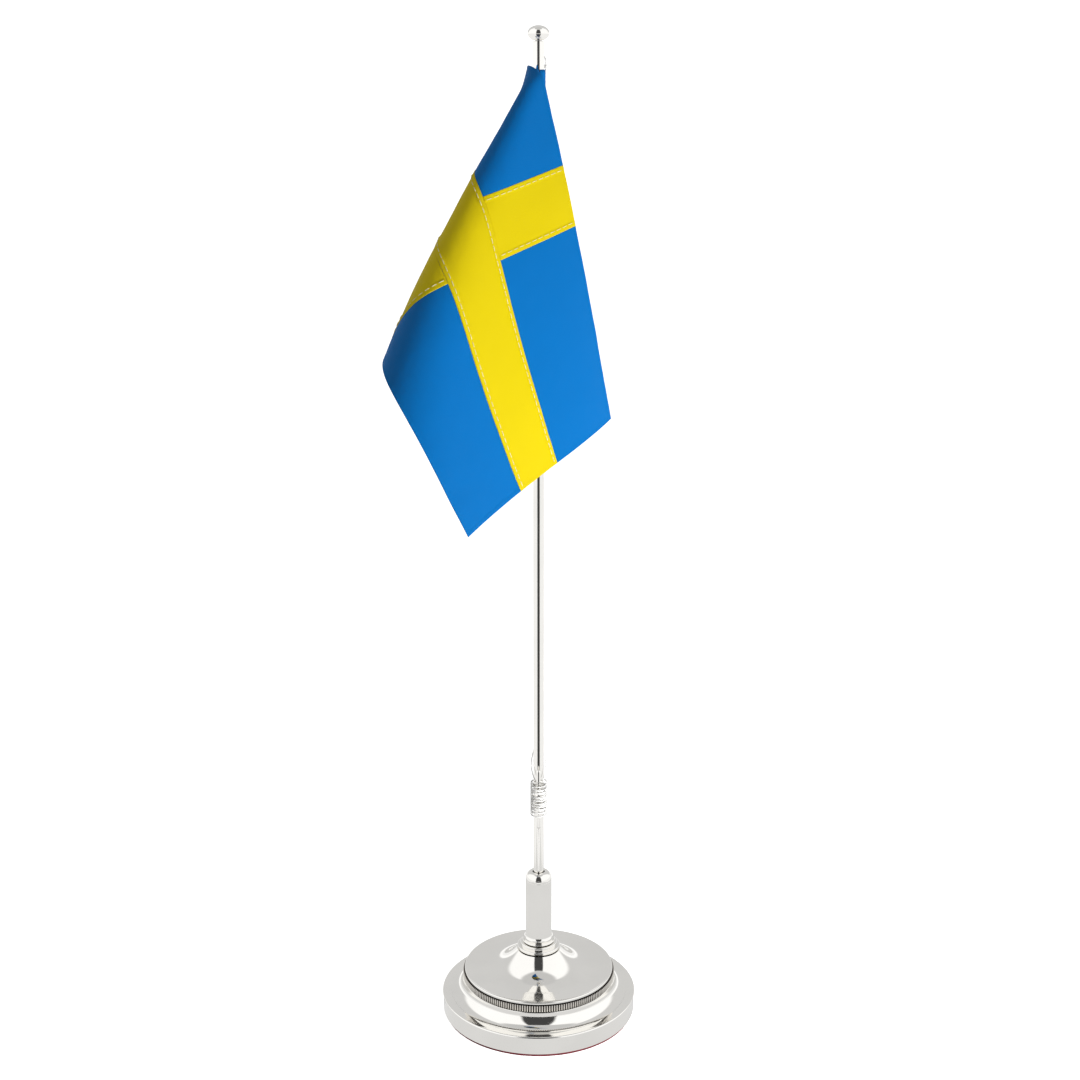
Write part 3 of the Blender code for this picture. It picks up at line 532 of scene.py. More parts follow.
# %% Turn the collars, the tube and its cap
STEP_RADIUS = 0.0080
STEP_HEIGHT = 0.0015
COLLAR_ROUND = 0.0005
collar_radius, collar_low, collar_high = levels("collar_ring")
step_level = collar_low + STEP_HEIGHT
collar_outline = [(SCREW_BORE, collar_high)]
collar_outline += arc((STEP_RADIUS - COLLAR_ROUND, collar_high - COLLAR_ROUND), COLLAR_ROUND, 90, 0)
collar_outline += [(STEP_RADIUS, step_level + 0.00001)]
collar_outline += arc((collar_radius - COLLAR_ROUND, step_level - COLLAR_ROUND), COLLAR_ROUND, 90, 0)
collar_outline += arc((collar_radius - COLLAR_ROUND, collar_low + COLLAR_ROUND), COLLAR_ROUND, 0, -90)
collar_outline += [(SCREW_BORE, collar_low)]
turn_silver("stepped_collar", collar_outline, "foot", "collar_ring")

SLEEVE_RADIUS = 0.0057
SLEEVE_BORE = 0.0049
FLARE_HEIGHT = 0.0032
flare_radius, sleeve_low, sleeve_high = levels("socket_tube")
flare = flare_radius - SLEEVE_RADIUS
sleeve_outline = [(SLEEVE_RADIUS - 0.0001, sleeve_high), (SLEEVE_RADIUS, sleeve_high - 0.0001)]
sleeve_outline += arc((flare_radius, sleeve_low + FLARE_HEIGHT), flare, 180, 262, 12)
sleeve_outline += arc((flare_radius - 0.0005, sleeve_low + 0.0005), 0.0005, 60, -90, 8)
sleeve_outline += [(SLEEVE_BORE, sleeve_low), (SLEEVE_BORE, sleeve_high)]
turn_silver("mast_sleeve", sleeve_outline, "foot", "socket_tube")

LINER_BORE = 0.0026
SEAM_LINE = 0.00002  # the cap is pressed home, so its seam hardly shows
CAP_EDGE = 0.0004
CAP_STEPS = 16
cap_radius, cap_low, cap_high = levels("tube_cap")
cap_outline = [(LINER_BORE, cap_high - 0.0002), (LINER_BORE + 0.0002, cap_high)]
for i in range(CAP_STEPS + 1):
    angle = math.radians(90 * i / CAP_STEPS)
    reach_out = LINER_BORE + CAP_EDGE + (cap_radius - LINER_BORE - CAP_EDGE) * math.sin(angle)
    cap_outline.append((reach_out, cap_low + CAP_EDGE + (cap_high - cap_low - CAP_EDGE) * math.cos(angle)))
cap_outline += [(cap_radius, sleeve_high + SEAM_LINE), (LINER_BORE, sleeve_high + SEAM_LINE)]
turn_silver("sleeve_cap", cap_outline, "foot", "tube_cap")

# %% [markdown]
# ## The mast and its finial
#
# The mast is drawn tube, so only its ends need care. The finial is a flattened ball on a hidden stud.

# %% Draw the mast and turn the finial
MAST_RADIUS = 0.00225
MAST_WALL = 0.0006
MAST_EDGE = 0.00015
MAST_SPANS = 24
mast_low, mast_high = levels("mast")[1:]
mast_outline = [(MAST_RADIUS - MAST_WALL, mast_high), (MAST_RADIUS - MAST_EDGE, mast_high)]
mast_outline += [(MAST_RADIUS, mast_high - MAST_EDGE)]
for i in range(1, MAST_SPANS):
    mast_outline.append((MAST_RADIUS, mast_high + (mast_low - mast_high) * i / MAST_SPANS))
mast_outline += [(MAST_RADIUS, mast_low), (MAST_RADIUS - MAST_WALL, mast_low)]
turn_silver("drawn_mast", mast_outline, "mast", "mast", 96)

BELLY_SHARE = 0.46  # where the finial is widest, as a share of its height
SQUAT_ABOVE = 0.54
SQUAT_BELOW = 0.52
FINIAL_STEPS = 39
STUD_HOLE = 0.0016
STUD_DEPTH = 0.0029
finial_radius, finial_low, finial_high = levels("finial")
finial_height = finial_high - finial_low
belly = finial_low + BELLY_SHARE * finial_height
start_angle = math.asin(BELLY_SHARE / SQUAT_BELOW)
finial_outline = [(0, finial_high)]
for i in range(1, FINIAL_STEPS + 1):
    angle = math.pi / 2 - (math.pi / 2 + start_angle) * i / FINIAL_STEPS
    squat = SQUAT_ABOVE if angle > 0 else SQUAT_BELOW
    finial_outline.append((finial_radius * math.cos(angle), belly + squat * finial_height * math.sin(angle)))
finial_outline[-1] = (MAST_RADIUS + 0.0002, finial_low)
finial_outline += [(STUD_HOLE, finial_low), (STUD_HOLE, finial_low + STUD_DEPTH)]
finial_outline += [(0, finial_low + STUD_DEPTH)]
turn_silver("turned_finial", finial_outline, "mast", "finial", 128)

# %% [markdown]
# ## The cleat
#
# A small turned bar stands upright on the mast. Its two horns are round-ended and the middle is thicker,
# where a rivet goes through. The cord is wound round its middle.

# %% Turn the cleat
cleat_low, cleat_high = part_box("cleat_bar")
cleat_middle = (cleat_low.z + cleat_high.z) / 2
cleat_length = cleat_high.z - cleat_low.z
cleat_y = (cleat_low.y + cleat_high.y) / 2
HORN_RADIUS = 0.0010
CLEAT_RADIUS = 0.0020
CLEAT_THICK_HALF = 0.0056
CLEAT_STEPS = 32

cleat_outline = [(0, cleat_length / 2)]
cleat_outline += arc((0, cleat_length / 2 - HORN_RADIUS), HORN_RADIUS, 82, 0, 8)
for i in range(CLEAT_STEPS + 1):
    share = i / CLEAT_STEPS
    swell = (1 - math.cos(2 * math.pi * share)) / 2
    radius = HORN_RADIUS + (CLEAT_RADIUS - HORN_RADIUS) * min(1, 1.35 * swell)
    cleat_outline.append((radius, CLEAT_THICK_HALF - 2 * CLEAT_THICK_HALF * share))
cleat_outline += arc((0, HORN_RADIUS - cleat_length / 2), HORN_RADIUS, 0, -82, 8)
cleat_outline += [(0, -cleat_length / 2)]
cleat_mesh = turned_mesh("turned_cleat", cleat_outline, 64)
cleat_mesh.transform(Matrix.Translation((0, cleat_y, cleat_middle)))
place_piece("turned_cleat", cleat_mesh, bright_silver, "mast", "cleat_bar")

# %% [markdown]
# ## The pieces inside
#
# The weight, the board, the washer and the screw are seen only when the stand is taken apart, but each
# still has its own finish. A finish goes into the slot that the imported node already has, so nothing
# moves.

# %% Finishes for what is inside
def grained_finish(name, dark, light, scale, roughness, metallic=0.0, relief=0.3, depth=0.0002):
    """A finish whose colour and surface vary with the same noise."""
    made, tree, shader = new_finish(name, Metallic=metallic, Roughness=roughness)
    grain = noise_field(tree, scale, 6.0)
    set_up(tree, shader, Base_Color=mixed(tree, eased(tree, grain, 0.3, 0.7), dark, light))
    add_relief(tree, shader, grain, relief, depth)
    return made


cast_iron = grained_finish("cast_iron", (0.05, 0.05, 0.052), (0.13, 0.13, 0.135), 700, 0.7, 0.7, 0.6)
hardboard = grained_finish("hardboard", (0.13, 0.075, 0.04), (0.27, 0.17, 0.10), 1500, 0.9, 0.0, 0.4)
zinc_steel = grained_finish("zinc_steel", (0.45, 0.46, 0.48), (0.66, 0.67, 0.69), 900, 0.34, 1.0, 0.1)
nylon = grained_finish("milky_nylon", (0.70, 0.69, 0.65), (0.80, 0.79, 0.75), 500, 0.45, 0.0, 0.05)

for node, look in {
    "base_weight": cast_iron,
    "base_board": hardboard,
    "plate_spacer": hardboard,
    "boss": zinc_steel,
    "clamp_screw": zinc_steel,
    "clamp_washer": zinc_steel,
    "socket_plug": zinc_steel,
    "mast_foot": zinc_steel,
    "finial_stud": zinc_steel,
    "cleat_rivet": bright_silver,
    "halyard_eye": bright_silver,
    "socket_liner": nylon,
}.items():
    mesh = nodes[node].data
    mesh.materials.clear()
    mesh.materials.append(look)
    print(node, "is", look.name)

# %% [markdown]
# ## The felt
#
# A disc of dark red felt is glued under the base, and only its edge shows, as a thin line. Felt has no
# weave: it is matted fibre, so its edge is slightly uneven and its face is covered in fine fuzz.

# %% Cut the felt disc
FELT_ROUND = 0.0002
FELT_WANDER = 0.00012
FELT_RINGS = (0.25, 0.5, 0.75, 0.93)  # shares of the radius
felt_radius, felt_low, felt_high = levels("felt_pad")


def felt_edge(radius, level, angle):
    if radius < felt_radius - 0.001:
        return radius
    place = Vector((90 * math.cos(angle), 90 * math.sin(angle), level * 4000))
    return radius - FELT_WANDER + FELT_WANDER * noise.noise(place)


felt_outline = [(0, felt_high)] + [(felt_radius * share, felt_high) for share in FELT_RINGS]
felt_outline += arc((felt_radius - FELT_ROUND, felt_high - FELT_ROUND), FELT_ROUND, 90, 0, 3)
felt_outline += arc((felt_radius - FELT_ROUND, felt_low + FELT_ROUND), FELT_ROUND, 0, -90, 3)
felt_outline += [(felt_radius * share, felt_low) for share in reversed(FELT_RINGS)] + [(0, felt_low)]
FELT_DARK = (0.07, 0.006, 0.010)
FELT_LIGHT = (0.19, 0.020, 0.030)
felt_look = grained_finish("dark_red_felt", FELT_DARK, FELT_LIGHT, 2600, 1.0, 0.0, 0.9, 0.0003)
felt_shader = felt_look.node_tree.nodes["Principled BSDF"]
set_up(felt_look.node_tree, felt_shader, Sheen_Weight=0.5, Sheen_Tint=(0.5, 0.12, 0.14, 1))
felt_mesh = turned_mesh("felt_disc", felt_outline, 256, felt_edge)
place_piece("felt_disc", felt_mesh, felt_look, "foot", "felt_pad")

# %% [markdown]
# ## The cord
#
# The halyard is a loop of thin white twisted cord. It leaves the turns on the cleat, goes up behind the mast,
# through the little eye under the finial, and comes down beside the mast, where the flag is tied to it. It is
# swept from a section with three lobes, and the section turns as it goes, so the twist is real.

# %% Curve and sweep for a twisted cord
CORD_RADIUS = 0.00025
TWIST_PITCH = 0.0017
CORD_STEP = 0.00032
CORD_SIDES = 9
LOBE_DEPTH = 0.16  # as a share of the radius


def smooth_path(points, spacing):
    """Points close together on a smooth curve through the given ones."""
    points = [Vector(point) for point in points]
    ends = [2 * points[0] - points[1]] + points + [2 * points[-1] - points[-2]]
    path = [points[0]]
    for i in range(len(points) - 1):
        a, b, c, d = ends[i : i + 4]
        t1 = (b - a).length ** 0.5
        t2 = t1 + (c - b).length ** 0.5
        t3 = t2 + (d - c).length ** 0.5
        steps = max(1, round((c - b).length / spacing))
        for step in range(1, steps + 1):
            t = t1 + (t2 - t1) * step / steps
            ab = a + (b - a) * t / t1
            bc = b + (c - b) * (t - t1) / (t2 - t1)
            cd = c + (d - c) * (t - t2) / (t3 - t2)
            abc = ab + (bc - ab) * t / t2
            bcd = bc + (cd - bc) * (t - t1) / (t3 - t1)
            path.append(abc + (bcd - abc) * (t - t1) / (t2 - t1))
    return path


def path_length(path):
    return sum((b - a).length for a, b in zip(path, path[1:]))


def skin_rings(work, rings):
    """Closes a tube round the rings of corners, with a cap at each end."""
    for ring, after in zip(rings, rings[1:]):
        for k in range(len(ring)):
            n = (k + 1) % len(ring)
            work.faces.new((ring[k], ring[n], after[n], after[k]))
    work.faces.new(rings[0])
    work.faces.new(rings[-1])


def twisted_mesh(name, path, radius=CORD_RADIUS, pitch=TWIST_PITCH):
    """A closed tube along the path whose three-lobed section turns once in every pitch."""
    work = bmesh.new()
    heading = (path[1] - path[0]).normalized()
    upright = heading.orthogonal().normalized()
    rings = []
    travelled = 0.0
    for i, point in enumerate(path):
        ahead = path[min(i + 1, len(path) - 1)] - path[max(i - 1, 0)]
        new_heading = ahead.normalized()
        upright = heading.rotation_difference(new_heading) @ upright
        heading = new_heading
        side = heading.cross(upright)
        if i:
            travelled += (point - path[i - 1]).length
        turn = 2 * math.pi * travelled / pitch
        ring = []
        for k in range(CORD_SIDES):
            angle = 2 * math.pi * k / CORD_SIDES
            reach = radius * (1 - LOBE_DEPTH * (0.5 - 0.5 * math.cos(3 * angle)))
            offset = math.cos(angle + turn) * upright + math.sin(angle + turn) * side
            ring.append(work.verts.new(point + offset * reach))
        rings.append(ring)
    skin_rings(work, rings)
    return made_mesh(name, work)


CORD_SHADE = (0.84, 0.835, 0.815)
CORD_LIGHT = (0.95, 0.945, 0.93)
cord_look = grained_finish("white_cord", CORD_SHADE, CORD_LIGHT, 2200, 0.75, 0.0, 0.25, 0.00005)
cord_look.node_tree.nodes["Principled BSDF"].inputs["Sheen Weight"].default_value = 0.25

# %% The halyard's route
winding_low, winding_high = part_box("cleat_winding")
winding_top = winding_high.z
EYE_Y = 0.00395
EYE_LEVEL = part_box("halyard_eye")[1].z - 0.0014
CORD_X, CORD_Y = 0.00278, 0.001416

HALYARD_ROUTE = [
    (-0.0014, -0.0034, winding_top + 0.0006),
    (-0.0026, -0.0022, winding_top + 0.0034),
    (-0.0031, 0.0004, winding_top + 0.0075),
    (-0.0020, 0.0026, winding_top + 0.0130),
    (-0.0012, 0.0029, winding_top + 0.0190),
    (-0.0012, 0.0029, winding_top + 0.0250),
    (-0.0012, 0.0029, EYE_LEVEL - 0.0200),
    (-0.0012, 0.0029, EYE_LEVEL - 0.0100),
    (-0.0014, 0.0033, EYE_LEVEL - 0.0030),
    (0.0, EYE_Y, EYE_LEVEL + 0.0002),
    (0.0020, 0.0030, EYE_LEVEL - 0.0008),
    (CORD_X, CORD_Y, EYE_LEVEL - 0.0026),
    (CORD_X, CORD_Y, EYE_LEVEL - 0.0038),
    (CORD_X, CORD_Y, winding_top + 0.0200),
    (CORD_X, CORD_Y, winding_top + 0.0140),
    (0.0030, -0.0004, winding_top + 0.0050),
    (0.0020, -0.0030, winding_top + 0.0006),
]
halyard_path = smooth_path(HALYARD_ROUTE, CORD_STEP)
print("halyard outside the turns:", round(path_length(halyard_path), 3), "m")
halyard_mesh = twisted_mesh("twisted_halyard", halyard_path)
place_piece("twisted_halyard", halyard_mesh, cord_look, "mast", "halyard")

# %% [markdown]
# ### The turns on the cleat
#
# The cord is wound round the mast and the cleat together. An inner layer climbs down and an outer layer comes
# back up over it, with its turns leaning the other way, so the two layers cross at the front. The path is a
# loop round an oval, with the height changing along it.

# %% Wind the cord
MAST_CLEAR = 0.00027
RIVET_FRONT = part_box("cleat_rivet")[0].y


def oval_point(share, clear):
    """A point on the oval round mast and cleat, share being the part of a turn from the right-hand side."""
    back = MAST_RADIUS + clear
    front_y = RIVET_FRONT - 0.0003 - clear + back
    straight = -front_y
    around = 2 * math.pi * back + 2 * straight
    run = (share % 1) * around
    half_turn = math.pi * back
    if run < half_turn:
        angle = run / back
        return Vector((back * math.cos(angle), back * math.sin(angle)))
    run -= half_turn
    if run < straight:
        return Vector((-back, -run))
    run -= straight
    if run < half_turn:
        angle = math.pi + run / back
        return Vector((back * math.cos(angle), front_y + back * math.sin(angle)))
    return Vector((back, front_y + run - half_turn))


INNER_TURNS = 11
OUTER_TURNS = 9
STEPS_PER_TURN = 44
winding_height = winding_high.z - winding_low.z
turn_points = [Vector(HALYARD_ROUTE[-1])]
layers = ((INNER_TURNS, MAST_CLEAR), (OUTER_TURNS, MAST_CLEAR + 2 * CORD_RADIUS))
for layer, (turns, clear) in enumerate(layers):
    for i in range(turns * STEPS_PER_TURN):
        share = i / (turns * STEPS_PER_TURN)
        wander = 0.0004 * math.sin(5.3 * share * turns + 2.1 * layer)
        wander += 0.00025 * math.sin(2.9 * share * turns)
        down = share if layer == 0 else 1 - share
        level = winding_high.z - 0.0006 - (winding_height - 0.0014) * down + wander
        level = min(max(level, winding_low.z + 0.0003), winding_high.z - 0.0003)
        flat = oval_point(-i / STEPS_PER_TURN - 0.1, clear + CORD_RADIUS)
        turn_points.append(Vector((flat.x, flat.y, level)))
turn_points.append(Vector(HALYARD_ROUTE[0]))
winding_path = smooth_path(turn_points, CORD_STEP)
print("cord in the turns:", round(path_length(winding_path), 3), "m")
turns_mesh = twisted_mesh("cord_turns", winding_path)
place_piece("cord_turns", turns_mesh, cord_look, "mast", "cleat_winding")

# %% [markdown]
# ### The two hitches
#
# The flag's heading is tied to the cord above and below with a few tight turns of thin line.

# %% Tie the hitches
HITCH_LINE = 0.00016
HITCH_TURNS = 4
HITCH_STEPS = 16
for name, node in (("top_hitch", "hoist_knot_top"), ("bottom_hitch", "hoist_knot_bottom")):
    low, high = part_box(node)
    centre = (low + high) / 2
    ring_reach = (high.x - low.x) / 2 - HITCH_LINE
    coil = []
    for i in range(HITCH_TURNS * HITCH_STEPS + 1):
        angle = 2 * math.pi * i / HITCH_STEPS
        level = low.z + HITCH_LINE + (high.z - low.z - 2 * HITCH_LINE) * i / (HITCH_TURNS * HITCH_STEPS)
        coil.append((centre.x + ring_reach * math.cos(angle), centre.y + ring_reach * math.sin(angle), level))
    hitch_mesh = twisted_mesh(name, smooth_path(coil, 0.0002), HITCH_LINE, 0.0010)
    place_piece(name, hitch_mesh, cord_look, "hoist", node)

# %% [markdown]
# ## The cloth
#
# The flag is sewn from separate pieces of satin: four blue corners and three yellow bands. It hangs from its
# upper hoist corner and folds once. Cloth bends but hardly stretches, and a sheet that fans out from one
# point keeps all the lengths and angles of the flat one: its straight lines stay straight, and only their
# directions turn. The lower corners are then drawn a little out of that shape, which does stretch the
# cloth slightly. Every piece reads its place from the same two functions, so the seams always meet.

# %% Sizes of the flat flag
FLAG_LENGTH = 0.151
FLAG_HEIGHT = 0.0975
BAND_WIDTH = 0.0236
HOIST_PANEL = 0.0488
APEX = Vector((0.0089, -0.0060, 0.4223))  # the point that the cloth's straight lines fan out from
APEX_BEFORE = 0.0035  # how far that point lies outside the hoist
APEX_ABOVE = 0.0154  # and above the flag's top edge
START_LEAN = -0.066
START_SIDE = 1.224
START_HEADING = 3.409
FOLD_TURN = 11.5
FOLD_AT = math.radians(40.7)
FOLD_SPREAD = math.radians(8.0)
HOIST_CURL = -4.8
MIDDLE_CURL = 4.65
FLY_CURL = -3.1
CORNER_PULL = Vector((0.0138, -0.0071, -0.0103))
LOWER_PULL = Vector((-0.0071, 0.0035, -0.0026))
FLY_PULL = Vector((-0.0036, 0.0035, -0.0015))
HOIST_EASE = 0.016
FAN_STEPS = 180

tape_low, tape_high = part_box("hoist_tape")
TAPE_TOP = tape_high.z
TAPE_MIDDLE = 0.00285
TAPE_FROM = math.radians(-80)
TAPE_TO = math.radians(-22)
HOIST_LINE = (TAPE_MIDDLE * math.cos(TAPE_FROM) - 0.0003, TAPE_MIDDLE * math.sin(TAPE_FROM) - 0.00015)


# %% How the sheet hangs
def fold_rate(angle):
    """How fast the hanging sheet turns aside at this angle of its fan: one fold, and a curl at each end."""
    share = angle / (math.pi / 2)
    fold = FOLD_TURN * math.exp(-(((angle - FOLD_AT) / FOLD_SPREAD) ** 2))
    curl = HOIST_CURL * (1 - share) ** 2 + 2 * MIDDLE_CURL * share * (1 - share) + FLY_CURL * share**2
    return curl - fold


def make_fan():
    """Directions of the straight lines in the sheet, evenly spread over 90 degrees of the flat flag."""
    side = Vector((math.sin(START_SIDE), -math.cos(START_SIDE), 0))
    down = math.sin(START_LEAN) * side + Vector((0, 0, -math.cos(START_LEAN)))
    across = (Vector((1, 0, 0)) - down * down.x).normalized()
    ahead = math.cos(START_HEADING) * across + math.sin(START_HEADING) * down.cross(across)
    turning = Matrix((down, ahead, down.cross(ahead)))
    step = math.pi / 2 / FAN_STEPS
    fan = [down.copy()]
    for i in range(FAN_STEPS):
        rate = (fold_rate(i * step) + fold_rate((i + 1) * step)) / 2
        turn = turning[2] + rate * turning[0]
        spin = Quaternion(turn.normalized(), turn.length * step).to_matrix()
        turning = Matrix([spin @ row for row in turning])
        fan.append(turning[0].copy())
    return fan


FAN = make_fan()


def fan_point(along, below):
    """Where a point of the flat flag hangs."""
    right = along + APEX_BEFORE
    drop = below + APEX_ABOVE
    place = math.atan2(right, drop) / (math.pi / 2) * FAN_STEPS
    first = min(int(place), FAN_STEPS - 1)
    line = FAN[first].lerp(FAN[first + 1], place - first).normalized()
    length = along / FLAG_LENGTH
    depth = below / FLAG_HEIGHT
    pull = CORNER_PULL * length * depth
    pull += LOWER_PULL * 4 * length * (1 - length) * depth
    pull += FLY_PULL * 4 * length * depth * (1 - depth)
    point = APEX + line * math.hypot(right, drop) + pull
    if along < HOIST_EASE:
        share = along / HOIST_EASE
        keep = share * share * (3 - 2 * share)
        start = Vector((HOIST_LINE[0] - along, HOIST_LINE[1], TAPE_TOP - below))
        point = start.lerp(point, keep)
    return point


def hung(along, below):
    """Where a point of the flat flag hangs, with the sheet's upright there."""
    step = 0.0004
    point = fan_point(along, below)
    across = fan_point(along + step, below) - fan_point(max(along - step, 0), below)
    down = fan_point(along, below + step) - fan_point(along, max(below - step, 0))
    return point, across.cross(down).normalized()


print("lower fly corner hangs at", [round(x, 4) for x in fan_point(FLAG_LENGTH, FLAG_HEIGHT)])

# %% [markdown]
# ### Satin
#
# Satin is woven so that most threads lie on the face. That gives it a soft sheen, and a fine diagonal grain.
# The grain needs a map of the flat cloth, so each piece gets a UV map in centimetres of flat cloth.
# The thread colour also varies a little, which is what keeps a plain colour from looking painted.

# %% The satin finish
TWILL_SCALE = 70.7355  # in the wave texture, this sets the stripes of the weave 0.044 mm apart
TWILL_ANGLE = math.radians(63)


def satin_finish(name, shade, colour, light, sheen_tint):
    made, tree, shader = new_finish(name, Specular_IOR_Level=0.12)
    flat = add_node(tree, "ShaderNodeUVMap").outputs["UV"]
    slanted = add_node(tree, "ShaderNodeMapping", Vector=flat, Rotation=(0, 0, TWILL_ANGLE)).outputs["Vector"]
    twill = add_node(tree, "ShaderNodeTexWave", Vector=slanted, Scale=TWILL_SCALE, Distortion=1.5, Detail=1.0)
    grain = add_node(tree, "ShaderNodeTexNoise", Vector=flat, Scale=30.0, Detail=4.0).outputs["Fac"]
    cloudy = add_node(tree, "ShaderNodeTexNoise", Vector=flat, Scale=6.0, Detail=2.0).outputs["Fac"]
    threads = mixed(tree, eased(tree, grain, 0.25, 0.75), shade, light)
    both = mixed(tree, eased(tree, cloudy, 0.3, 0.7, 0.35, 0.65), threads, colour)
    set_up(tree, shader, Base_Color=both, Roughness=eased(tree, grain, 0.2, 0.8, 0.50, 0.66))
    set_up(tree, shader, Sheen_Weight=0.04, Sheen_Roughness=0.45, Sheen_Tint=(*sheen_tint, 1))
    add_relief(tree, shader, maths(tree, "ADD", twill.outputs["Fac"], grain), 0.5, 0.0001)
    return made


BLUES = ((0.0, 0.11, 0.37), (0.0, 0.145, 0.45), (0.001, 0.18, 0.54))  # dark, middle and light threads
YELLOWS = ((0.60, 0.45, 0.0), (0.69, 0.54, 0.002), (0.78, 0.64, 0.006))
THREAD_SHADE = (0.66, 0.60, 0.33)
THREAD_LIGHT = (0.88, 0.84, 0.60)
blue_satin = satin_finish("blue_satin", *BLUES, (0.35, 0.65, 1.0))
yellow_satin = satin_finish("yellow_satin", *YELLOWS, (1.0, 0.95, 0.6))
thread_look = grained_finish("cream_thread", THREAD_SHADE, THREAD_LIGHT, 3000, 0.7, 0.0, 0.3, 0.00005)

# %% [markdown]
# ### Cut and sew the pieces
#
# Each yellow band has its raw edges turned under before it is sewn down, so along its sides it is twice
# as thick. That shows as a narrow raised strip that catches light. The blue pieces run flat up to
# the band. At the outside of the flag all edges are turned over once.

# %% The shape of an edge
CLOTH = 0.00026
FOLD_WIDTH = 0.0019
FOLD_RISE = 0.00017
HEM_WIDTH = 0.0011
HEM_RISE = 0.00007
EDGE_ROUND = 0.00022
EDGE_SLOPE = 0.0003  # the width over which a turned edge comes down to the plain cloth
CLOTH_SPACING = 0.0009
STITCH_PITCH = 0.0028
STITCH_INSET = 0.0019


TURNED_EDGES = {"fold": (FOLD_WIDTH, FOLD_RISE), "hem": (HEM_WIDTH, HEM_RISE), "plain": (0.0, 0.0)}


def edge_rise(distance, kind):
    """Extra half thickness of the cloth at this distance from an edge."""
    width, rise = TURNED_EDGES[kind]
    if distance < width:
        return rise
    if distance < width + EDGE_SLOPE:
        return rise * (1 - (distance - width) / EDGE_SLOPE)
    return 0.0


def edge_round(distance):
    """The share of the full thickness near a rounded edge."""
    if distance >= EDGE_ROUND:
        return 1.0
    share = 1 - distance / EDGE_ROUND
    return 0.25 + 0.75 * math.sqrt(max(0.0, 1 - share * share))


def crease(along, below):
    """Gentle unevenness of hanging cloth, the same for every piece, so that seams still meet."""
    slow = noise.noise(Vector((along * 70, below * 55, 0.3)))
    quick = noise.noise(Vector((along * 210, below * 170, 4.7)))
    return 0.00022 * slow + 0.00007 * quick


def spread(start, end):
    """Positions across a piece, close together at both edges."""
    near = [0, 0.00005, 0.00012, EDGE_ROUND, 0.0006, HEM_WIDTH, HEM_WIDTH + EDGE_SLOPE]
    near += [FOLD_WIDTH, FOLD_WIDTH + EDGE_SLOPE, 0.0027]
    first = [start + d for d in near]
    last = [end - d for d in reversed(near)]
    inner = last[0] - first[-1]
    count = max(1, round(inner / CLOTH_SPACING))
    middle = [first[-1] + inner * i / count for i in range(1, count)]
    return first + middle + last


# %% Cut one piece
def close_sheet(name, work, front, back, flat_place):
    """Joins two grids of corners, one for each face of the cloth, and maps them to the flat cloth."""
    last_row, last_column = len(front) - 1, len(front[0]) - 1
    for grid in (front, back):
        for j in range(last_row):
            for i in range(last_column):
                work.faces.new((grid[j][i], grid[j][i + 1], grid[j + 1][i + 1], grid[j + 1][i]))
    rim = [(0, i) for i in range(last_column)] + [(j, last_column) for j in range(last_row)]
    rim += [(last_row, i) for i in range(last_column, 0, -1)] + [(j, 0) for j in range(last_row, 0, -1)]
    for k, (j, i) in enumerate(rim):
        m, n = rim[(k + 1) % len(rim)]
        work.faces.new((front[j][i], front[m][n], back[m][n], back[j][i]))
    bmesh.ops.recalc_face_normals(work, faces=work.faces)
    flat_map = work.loops.layers.uv["flat"]
    for face in work.faces:
        for loop in face.loops:
            loop[flat_map].uv = flat_place[loop.vert]
    return made_mesh(name, work, outward=False)


def sewn_piece(name, node, along_range, below_range, edges, look):
    """A piece of the flag as real cloth with two faces. edges are left, right, top and bottom."""
    columns = spread(*along_range)
    rows = spread(*below_range)
    work = bmesh.new()
    work.loops.layers.uv.new("flat")
    flat_place = {}
    front, back = [], []
    for below in rows:
        front.append([])
        back.append([])
        for along in columns:
            gaps = (along - columns[0], columns[-1] - along, below - rows[0], rows[-1] - below)
            rise = max(edge_rise(gap, kind) for gap, kind in zip(gaps, edges))
            rounded = min(edge_round(gap) for gap in gaps)
            half_thickness = (CLOTH / 2 + rise) * rounded
            point, upright = hung(along, below)
            point = point + upright * crease(along, below)
            for grid, side in ((front, 1), (back, -1)):
                corner = work.verts.new(point + upright * half_thickness * side)
                flat_place[corner] = (along * 100, below * 100)
                grid[-1].append(corner)
    mesh = close_sheet(name, work, front, back, flat_place)
    return place_piece(name, mesh, look, "flag", node)


# %% Lay out the seven pieces
band_top = (FLAG_HEIGHT - BAND_WIDTH) / 2
band_bottom = band_top + BAND_WIDTH
band_end = HOIST_PANEL + BAND_WIDTH
SEAM = 0.00006  # each piece stops this far short of the seam line
hoist_side = (0, HOIST_PANEL + SEAM)
band_side = (HOIST_PANEL, band_end)
fly_side = (band_end - SEAM, FLAG_LENGTH)
upper_side = (0, band_top - SEAM)
lower_side = (band_bottom + SEAM, FLAG_HEIGHT)

sheets = {
    "blue_hoist_upper": ("canton_hoist_upper", hoist_side, upper_side, "plain plain hem plain"),
    "blue_hoist_lower": ("canton_hoist_lower", hoist_side, lower_side, "plain plain plain hem"),
    "blue_fly_upper": ("canton_fly_upper", fly_side, upper_side, "plain hem hem plain"),
    "blue_fly_lower": ("canton_fly_lower", fly_side, lower_side, "plain hem plain hem"),
    "yellow_upper": ("band_upper", band_side, upper_side, "fold fold hem plain"),
    "yellow_lower": ("band_lower", band_side, lower_side, "fold fold plain hem"),
    "yellow_long": ("band_long", (0, FLAG_LENGTH), (band_top, band_bottom), "plain hem fold fold"),
}
satins = {"blue": blue_satin, "yellow": yellow_satin}
for name, (node, along_range, below_range, edges) in sheets.items():
    colour = name.split("_")[0]
    look, cloth_slot = satins[colour], colour + "_cloth"
    sewn_piece(name, node, along_range, below_range, edges.split(), look)

